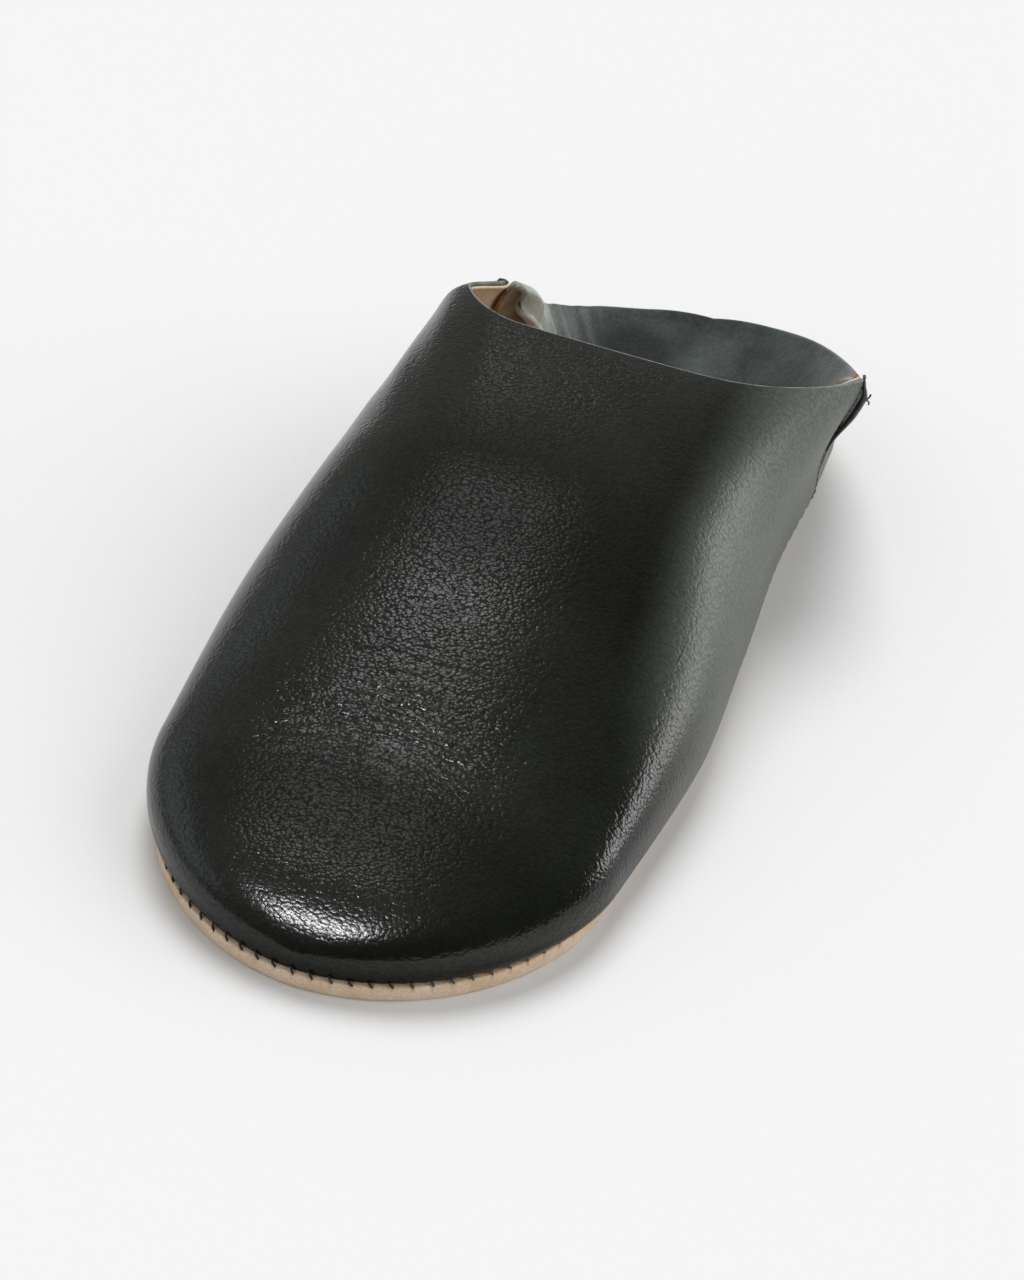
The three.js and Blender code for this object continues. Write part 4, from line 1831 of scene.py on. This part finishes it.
@dataclass
class Seams:
    """All the sewing: sole stitches, side seams with their inner strips, and corner knots."""

    last: Last
    vamp: Vamp
    pitch: float = STITCH_PITCH
    strip_half: float = 1.3
    strip_thick: float = 0.35
    thread_radius: float = 0.22
    stitch_inset: float = 0.45
    stitch_drop: float = 0.35
    path_points: int = 1400
    knots: tuple[Knot, ...] = (
        Knot(
            Side.RIGHT,
            bound=24.0,
            bulge=1.2,
            ends=(
                ((-0.6, 0.0, 0.0), (0.5, 0.3, 0.5), (1.0, 0.3, 1.2), (1.2, 0.1, 2.0)),
                ((-0.6, 0.0, 0.0), (0.4, 0.6, -0.3), (0.7, 1.0, -1.0), (0.6, 1.2, -1.8)),
            ),
        ),
        Knot(Side.LEFT, bound=7.0, bulge=0.4),
    )

    def sole_stitches(self, thread: Material) -> None:
        """Lays the stitches that hold the upper to the sole.

        Args:
            thread: The thread's material.
        """
        ring = self.last.ring(self.stitch_inset, self.path_points)
        step = np.roll(ring, -1, axis=0) - np.roll(ring, 1, axis=0)
        out = unit(np.column_stack([step[:, 1], -step[:, 0], np.zeros(len(ring))]))
        path = np.column_stack([ring, np.full(len(ring), self.last.feather_up - self.stitch_drop)])
        total = float(np.linalg.norm(np.roll(ring, -1, axis=0) - ring, axis=1).sum())
        pitch = total / round(total / self.pitch)
        laid = Stitching(
            pitch, thread=0.54, reach=1.05, rise=0.65, depth=0.35, lean=0.65, jitter=0.16, seed=7
        )
        laid.build("sole_stitches", path, out, thread, closed=True)

    def side_seam(self, side: Side, thread: Material, strip: Material) -> None:
        """Sews a side seam outside, and lays the leather strip inside it.

        Args:
            side: Which seam.
            thread: The thread's material.
            strip: The strip's leather.
        """
        name = side.name.lower()
        path, out = self.vamp.seam_path(side, 0.25, 60)
        path = path + np.array([0.0, 0.15, 0.0])
        laid = Stitching(
            pitch=1.9,
            thread=0.8,
            reach=0.85,
            rise=0.75,
            depth=0.5,
            lean=0.75,
            jitter=0.12,
            seed=11 + side.value,
        )
        laid.build(f"side_seam_{name}", path, out, thread, closed=False)
        inner, ways = self.vamp.seam_path(side, 2.25, 60)
        self.strip(f"seam_strip_{name}", inner, ways, side, strip)

    def strip(
        self, name: str, path: np.ndarray, outward: np.ndarray, side: Side, finish: Material
    ) -> None:
        """A narrow closed strip of leather lying along a path.

        Args:
            name: The piece's name.
            path: The strip's middle line.
            outward: Way of the strip's back at each point.
            side: Which side of the slipper it lies on.
            finish: Its leather.
        """
        half, thick = self.strip_half, self.strip_thick
        ahead = np.array([0.0, 1.0, 0.0]) * side.value
        back = [(half, 0.0), (half * 0.6, thick), (-half * 0.6, thick), (-half, 0.0)]
        corners = [(-half, -thick), (half, -thick), *back]
        rings = np.stack([path + ahead * a - outward * b for a, b in corners], axis=1)
        piece = new_piece(name, *capped(rings), [finish])
        outward_faces(piece)
        settle(piece, "lining_leather")

    def corner_knot(self, knot: Knot, thread: Material) -> None:
        """Binds a corner's edge over and over with thread, and leaves any loose ends.

        Args:
            knot: The binding.
            thread: The thread's material.
        """
        start, end = 0.2 * knot.bound, 0.6 * knot.bound
        path, out = self.vamp.seam_path(knot.side, -0.2, 240)
        gone = np.concatenate([[0.0], np.cumsum(np.linalg.norm(np.diff(path, axis=0), axis=1))])
        kept = gone < knot.bound
        proud = ease(gone[kept] / start) * ease((knot.bound - gone[kept]) / end)
        roll = path[kept] + out[kept] * (knot.bulge * proud)[:, None]
        top = roll[np.searchsorted(gone, start)] + out[0] * 0.5
        outward = np.array([knot.side.value, 1.0, 1.0])
        tubes = [(roll, 0.35 + 0.42 * proud)]
        tubes += [(top + np.array(loose) * outward, self.thread_radius) for loose in knot.ends]
        points, faces = [], []
        for line, radius in tubes:
            made, quads = tube(line, radius, 8)
            faces += [tuple(v + len(points) for v in quad) for quad in quads]
            points += made.tolist()
        name = f"corner_knot_{knot.side.name.lower()}"
        piece = new_piece(name, np.array(points), faces, [thread])
        outward_faces(piece)
        settle(piece, "waxed_thread")


def tube(line: np.ndarray, radius: float | np.ndarray, sides: int) -> tuple[np.ndarray, list[Face]]:
    """A closed round tube along a line.

    Args:
        line: Points of its middle line.
        radius: Its radius, or its radius at each point.
        sides: Points round it.

    Returns:
        Its points and faces.
    """
    ahead = unit(np.gradient(line, axis=0))
    across = unit(np.cross(ahead, np.array([0.13, 0.21, 0.97])))
    up = np.cross(ahead, across)
    turn = np.arange(sides) * 2.0 * math.pi / sides
    cos, sin = np.cos(turn)[None, :, None], np.sin(turn)[None, :, None]
    spokes = across[:, None] * cos + up[:, None] * sin
    return capped(line[:, None] + np.broadcast_to(radius, len(line))[:, None, None] * spokes)


def outward_faces(piece: Object) -> None:
    """Turns a closed piece's faces outward.

    Args:
        piece: The piece.
    """
    work = bmesh.new()
    work.from_mesh(piece.data)
    bmesh.ops.recalc_face_normals(work, faces=work.faces)
    work.to_mesh(piece.data)
    work.free()
    piece.data.update()


# ---------------------------------------------------------------------------------------------
# Floor, light and camera
# ---------------------------------------------------------------------------------------------


@dataclass(frozen=True)
class Lamp:
    """A soft rectangular lamp that shows only in the gloss.

    It hangs turn degrees round from the heel towards the right side and rise degrees up, and
    spans wide by tall degrees as seen from the slipper.
    """

    name: str
    turn: float
    rise: float
    wide: float
    tall: float
    radiance: float
    distance: float = 1.5
    colour: Triple = (1.0, 1.0, 1.0)

    def hang(self) -> Object:
        """Hangs the lamp so that it faces the slipper.

        Returns:
            The lamp's object.
        """
        turn, rise = math.radians(self.turn), math.radians(self.rise)
        level = math.cos(rise)
        way = Vector((math.sin(turn) * level, math.cos(turn) * level, math.sin(rise)))
        data = bpy.data.lights.new(self.name, "AREA")
        data.shape = "RECTANGLE"
        data.color = self.colour
        data.size = 2.0 * self.distance * math.tan(math.radians(self.wide) / 2.0)
        data.size_y = 2.0 * self.distance * math.tan(math.radians(self.tall) / 2.0)
        data.energy = self.radiance * math.pi * data.size * data.size_y
        lamp = bpy.data.objects.new(self.name, data)
        lamp.location = way * self.distance + Vector((0.0, 0.0, 0.03))
        lamp.rotation_euler = way.to_track_quat("Z", "Y").to_euler()
        lamp.visible_diffuse = False
        bpy.context.scene.collection.objects.link(lamp)
        return lamp


@dataclass(frozen=True)
class Sun:
    """A far wide light that lights the floor and the dye, casts soft shadows, shows in no gloss."""

    name: str
    way: Triple
    spread: float
    strength: float

    def hang(self) -> Object:
        """Hangs the light.

        Returns:
            The light's object.
        """
        data = bpy.data.lights.new(self.name, "SUN")
        data.energy = self.strength
        data.angle = math.radians(self.spread)
        light = bpy.data.objects.new(self.name, data)
        light.rotation_euler = Vector(self.way).to_track_quat("Z", "Y").to_euler()
        light.location = Vector(self.way)
        light.visible_glossy = False
        bpy.context.scene.collection.objects.link(light)
        return light


@dataclass
class Studio:
    """A plain pale floor, soft light from all round, and the camera."""

    camera_at: Triple = (0.28777, -0.71831, 0.67534)
    look_at: Triple = (-0.00196, -0.00057, 0.0)
    roll_degrees: float = 2.11
    lens: float = 126.0
    floor_reach: float = 12.0
    pale_way: Triple = (-0.8, 0.6, 0.0)
    air_strength: tuple[float, float] = (0.05, 0.38)
    suns: tuple[Sun, ...] = (
        Sun("overhead_light", way=(-0.16, 0.52, 0.84), spread=30.0, strength=1.72),
        Sun("sky_light", way=(0.05, 0.05, 1.0), spread=120.0, strength=0.3),
        Sun("front_fill", way=(0.1, -0.9, 0.3), spread=80.0, strength=0.45),
        Sun("right_fill", way=(0.78, 0.25, 0.50), spread=60.0, strength=1.2),
    )
    lamps: tuple[Lamp, ...] = (
        Lamp("toe_softbox", turn=-154.0, rise=56.0, wide=13.0, tall=5.0, radiance=56.0),
        Lamp("top_softbox", turn=-68.0, rise=70.0, wide=12.0, tall=9.0, radiance=5.4),
        Lamp("small_window", turn=-28.0, rise=40.0, wide=5.0, tall=4.0, radiance=3.0),
        Lamp("side_softbox", turn=54.0, rise=9.0, wide=42.0, tall=18.0, radiance=5.5, distance=0.6),
        Lamp(
            "left_reflector",
            turn=-100.0,
            rise=24.0,
            wide=50.0,
            tall=26.0,
            radiance=0.6,
            colour=(0.72, 0.93, 1.0),
        ),
    )

    def build(self) -> None:
        """Builds the floor, the lamps, the air and the camera."""
        self.floor()
        for lamp in self.lamps:
            lamp.hang()
        for sun in self.suns:
            sun.hang()
        self.air()
        bpy.context.scene.view_settings.view_transform = "Standard"
        self.camera()
        LOG.info("studio: floor, %d lights and the camera", len(self.lamps) + len(self.suns))

    def air(self) -> None:
        """Fills the room with grey light, paler behind on the left than in front on the right."""
        world = bpy.data.worlds.new("studio_air")
        world.use_nodes = True
        world.node_tree.nodes.clear()
        add = partial(add_node, world.node_tree)
        way = add("ShaderNodeTexCoord").outputs["Generated"]
        side = add("ShaderNodeVectorMath", {0: way, 1: self.pale_way}, operation="DOT_PRODUCT")
        low, high = self.air_strength
        grey = add(
            "ShaderNodeMapRange",
            {0: side, 1: -0.7, 2: 0.7, 3: low, 4: high},
            interpolation_type="SMOOTHSTEP",
        )
        white = {"Color": (1.0, 1.0, 1.0, 1.0), "Strength": grey}
        add("ShaderNodeOutputWorld", {"Surface": add("ShaderNodeBackground", white)})
        bpy.context.scene.world = world

    def floor(self) -> None:
        """Lays the floor: matt white backdrop paper, whose tooth is a faint grey speckle."""
        mesh = bpy.data.meshes.new("floor")
        far = self.floor_reach
        corners = [(-far, -far, 0.0), (far, -far, 0.0), (far, far, 0.0), (-far, far, 0.0)]
        mesh.from_pydata(corners, [], [(0, 1, 2, 3)])
        floor = bpy.data.objects.new("floor", mesh)
        bpy.context.scene.collection.objects.link(floor)
        material, add, place = new_material("matt_white_backdrop_paper")
        tooth = add("ShaderNodeTexNoise", {"Vector": place, "Scale": 900.0, "Detail": 2.0})
        shades = {0: tooth, 6: linear("f2f2f2"), 7: linear("f6f6f6")}
        shade = add("ShaderNodeMix", shades, data_type="RGBA")
        paper = {"Base Color": shade, "Roughness": 0.95, "Specular IOR Level": 0.1}
        shader = add("ShaderNodeBsdfPrincipled", paper)
        add("ShaderNodeOutputMaterial", {"Surface": shader})
        mesh.materials.append(material)

    def camera(self) -> None:
        """Places the camera, tilted a little about its own axis."""
        data = bpy.data.cameras.new("camera")
        data.lens = self.lens
        data.sensor_width = 36.0
        data.clip_start, data.clip_end = 0.05, 60.0
        camera = bpy.data.objects.new("camera", data)
        at = Vector(self.camera_at)
        aim = Vector(self.look_at) - at
        roll = Quaternion((0.0, 0.0, 1.0), math.radians(self.roll_degrees))
        turned = aim.to_track_quat("-Z", "Y") @ roll
        camera.matrix_world = Matrix.Translation(at) @ turned.to_matrix().to_4x4()
        bpy.context.scene.collection.objects.link(camera)
        bpy.context.scene.camera = camera


def main() -> None:
    """Builds the slipper piece by piece, then the studio."""
    logging.basicConfig(level=logging.INFO, format="%(name)s %(message)s")
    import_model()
    goat, soft, edge, flesh = (
        finish.build() for finish in (GLAZED_GOAT, SOFT_GOAT, CUT_EDGE, FLESH_SIDE)
    )
    lining, hide, calf, strip = (
        finish.build() for finish in (SHEEP_LINING, SOLE_HIDE, INSOLE_CALF, SEAM_STRIP)
    )
    thread = ThreadFinish().build()
    vamp = Vamp(LAST)
    vamp.build(goat, edge)
    vamp.build_lining(lining)
    Quarter(LAST, vamp).build(soft, flesh)
    Soles(LAST).build(hide, calf)
    seams = Seams(LAST, vamp)
    seams.sole_stitches(thread)
    for side in Side:
        seams.side_seam(side, thread, strip)
    for knot in seams.knots:
        seams.corner_knot(knot, thread)
    Studio().build()


if __name__ == "__main__":
    main()
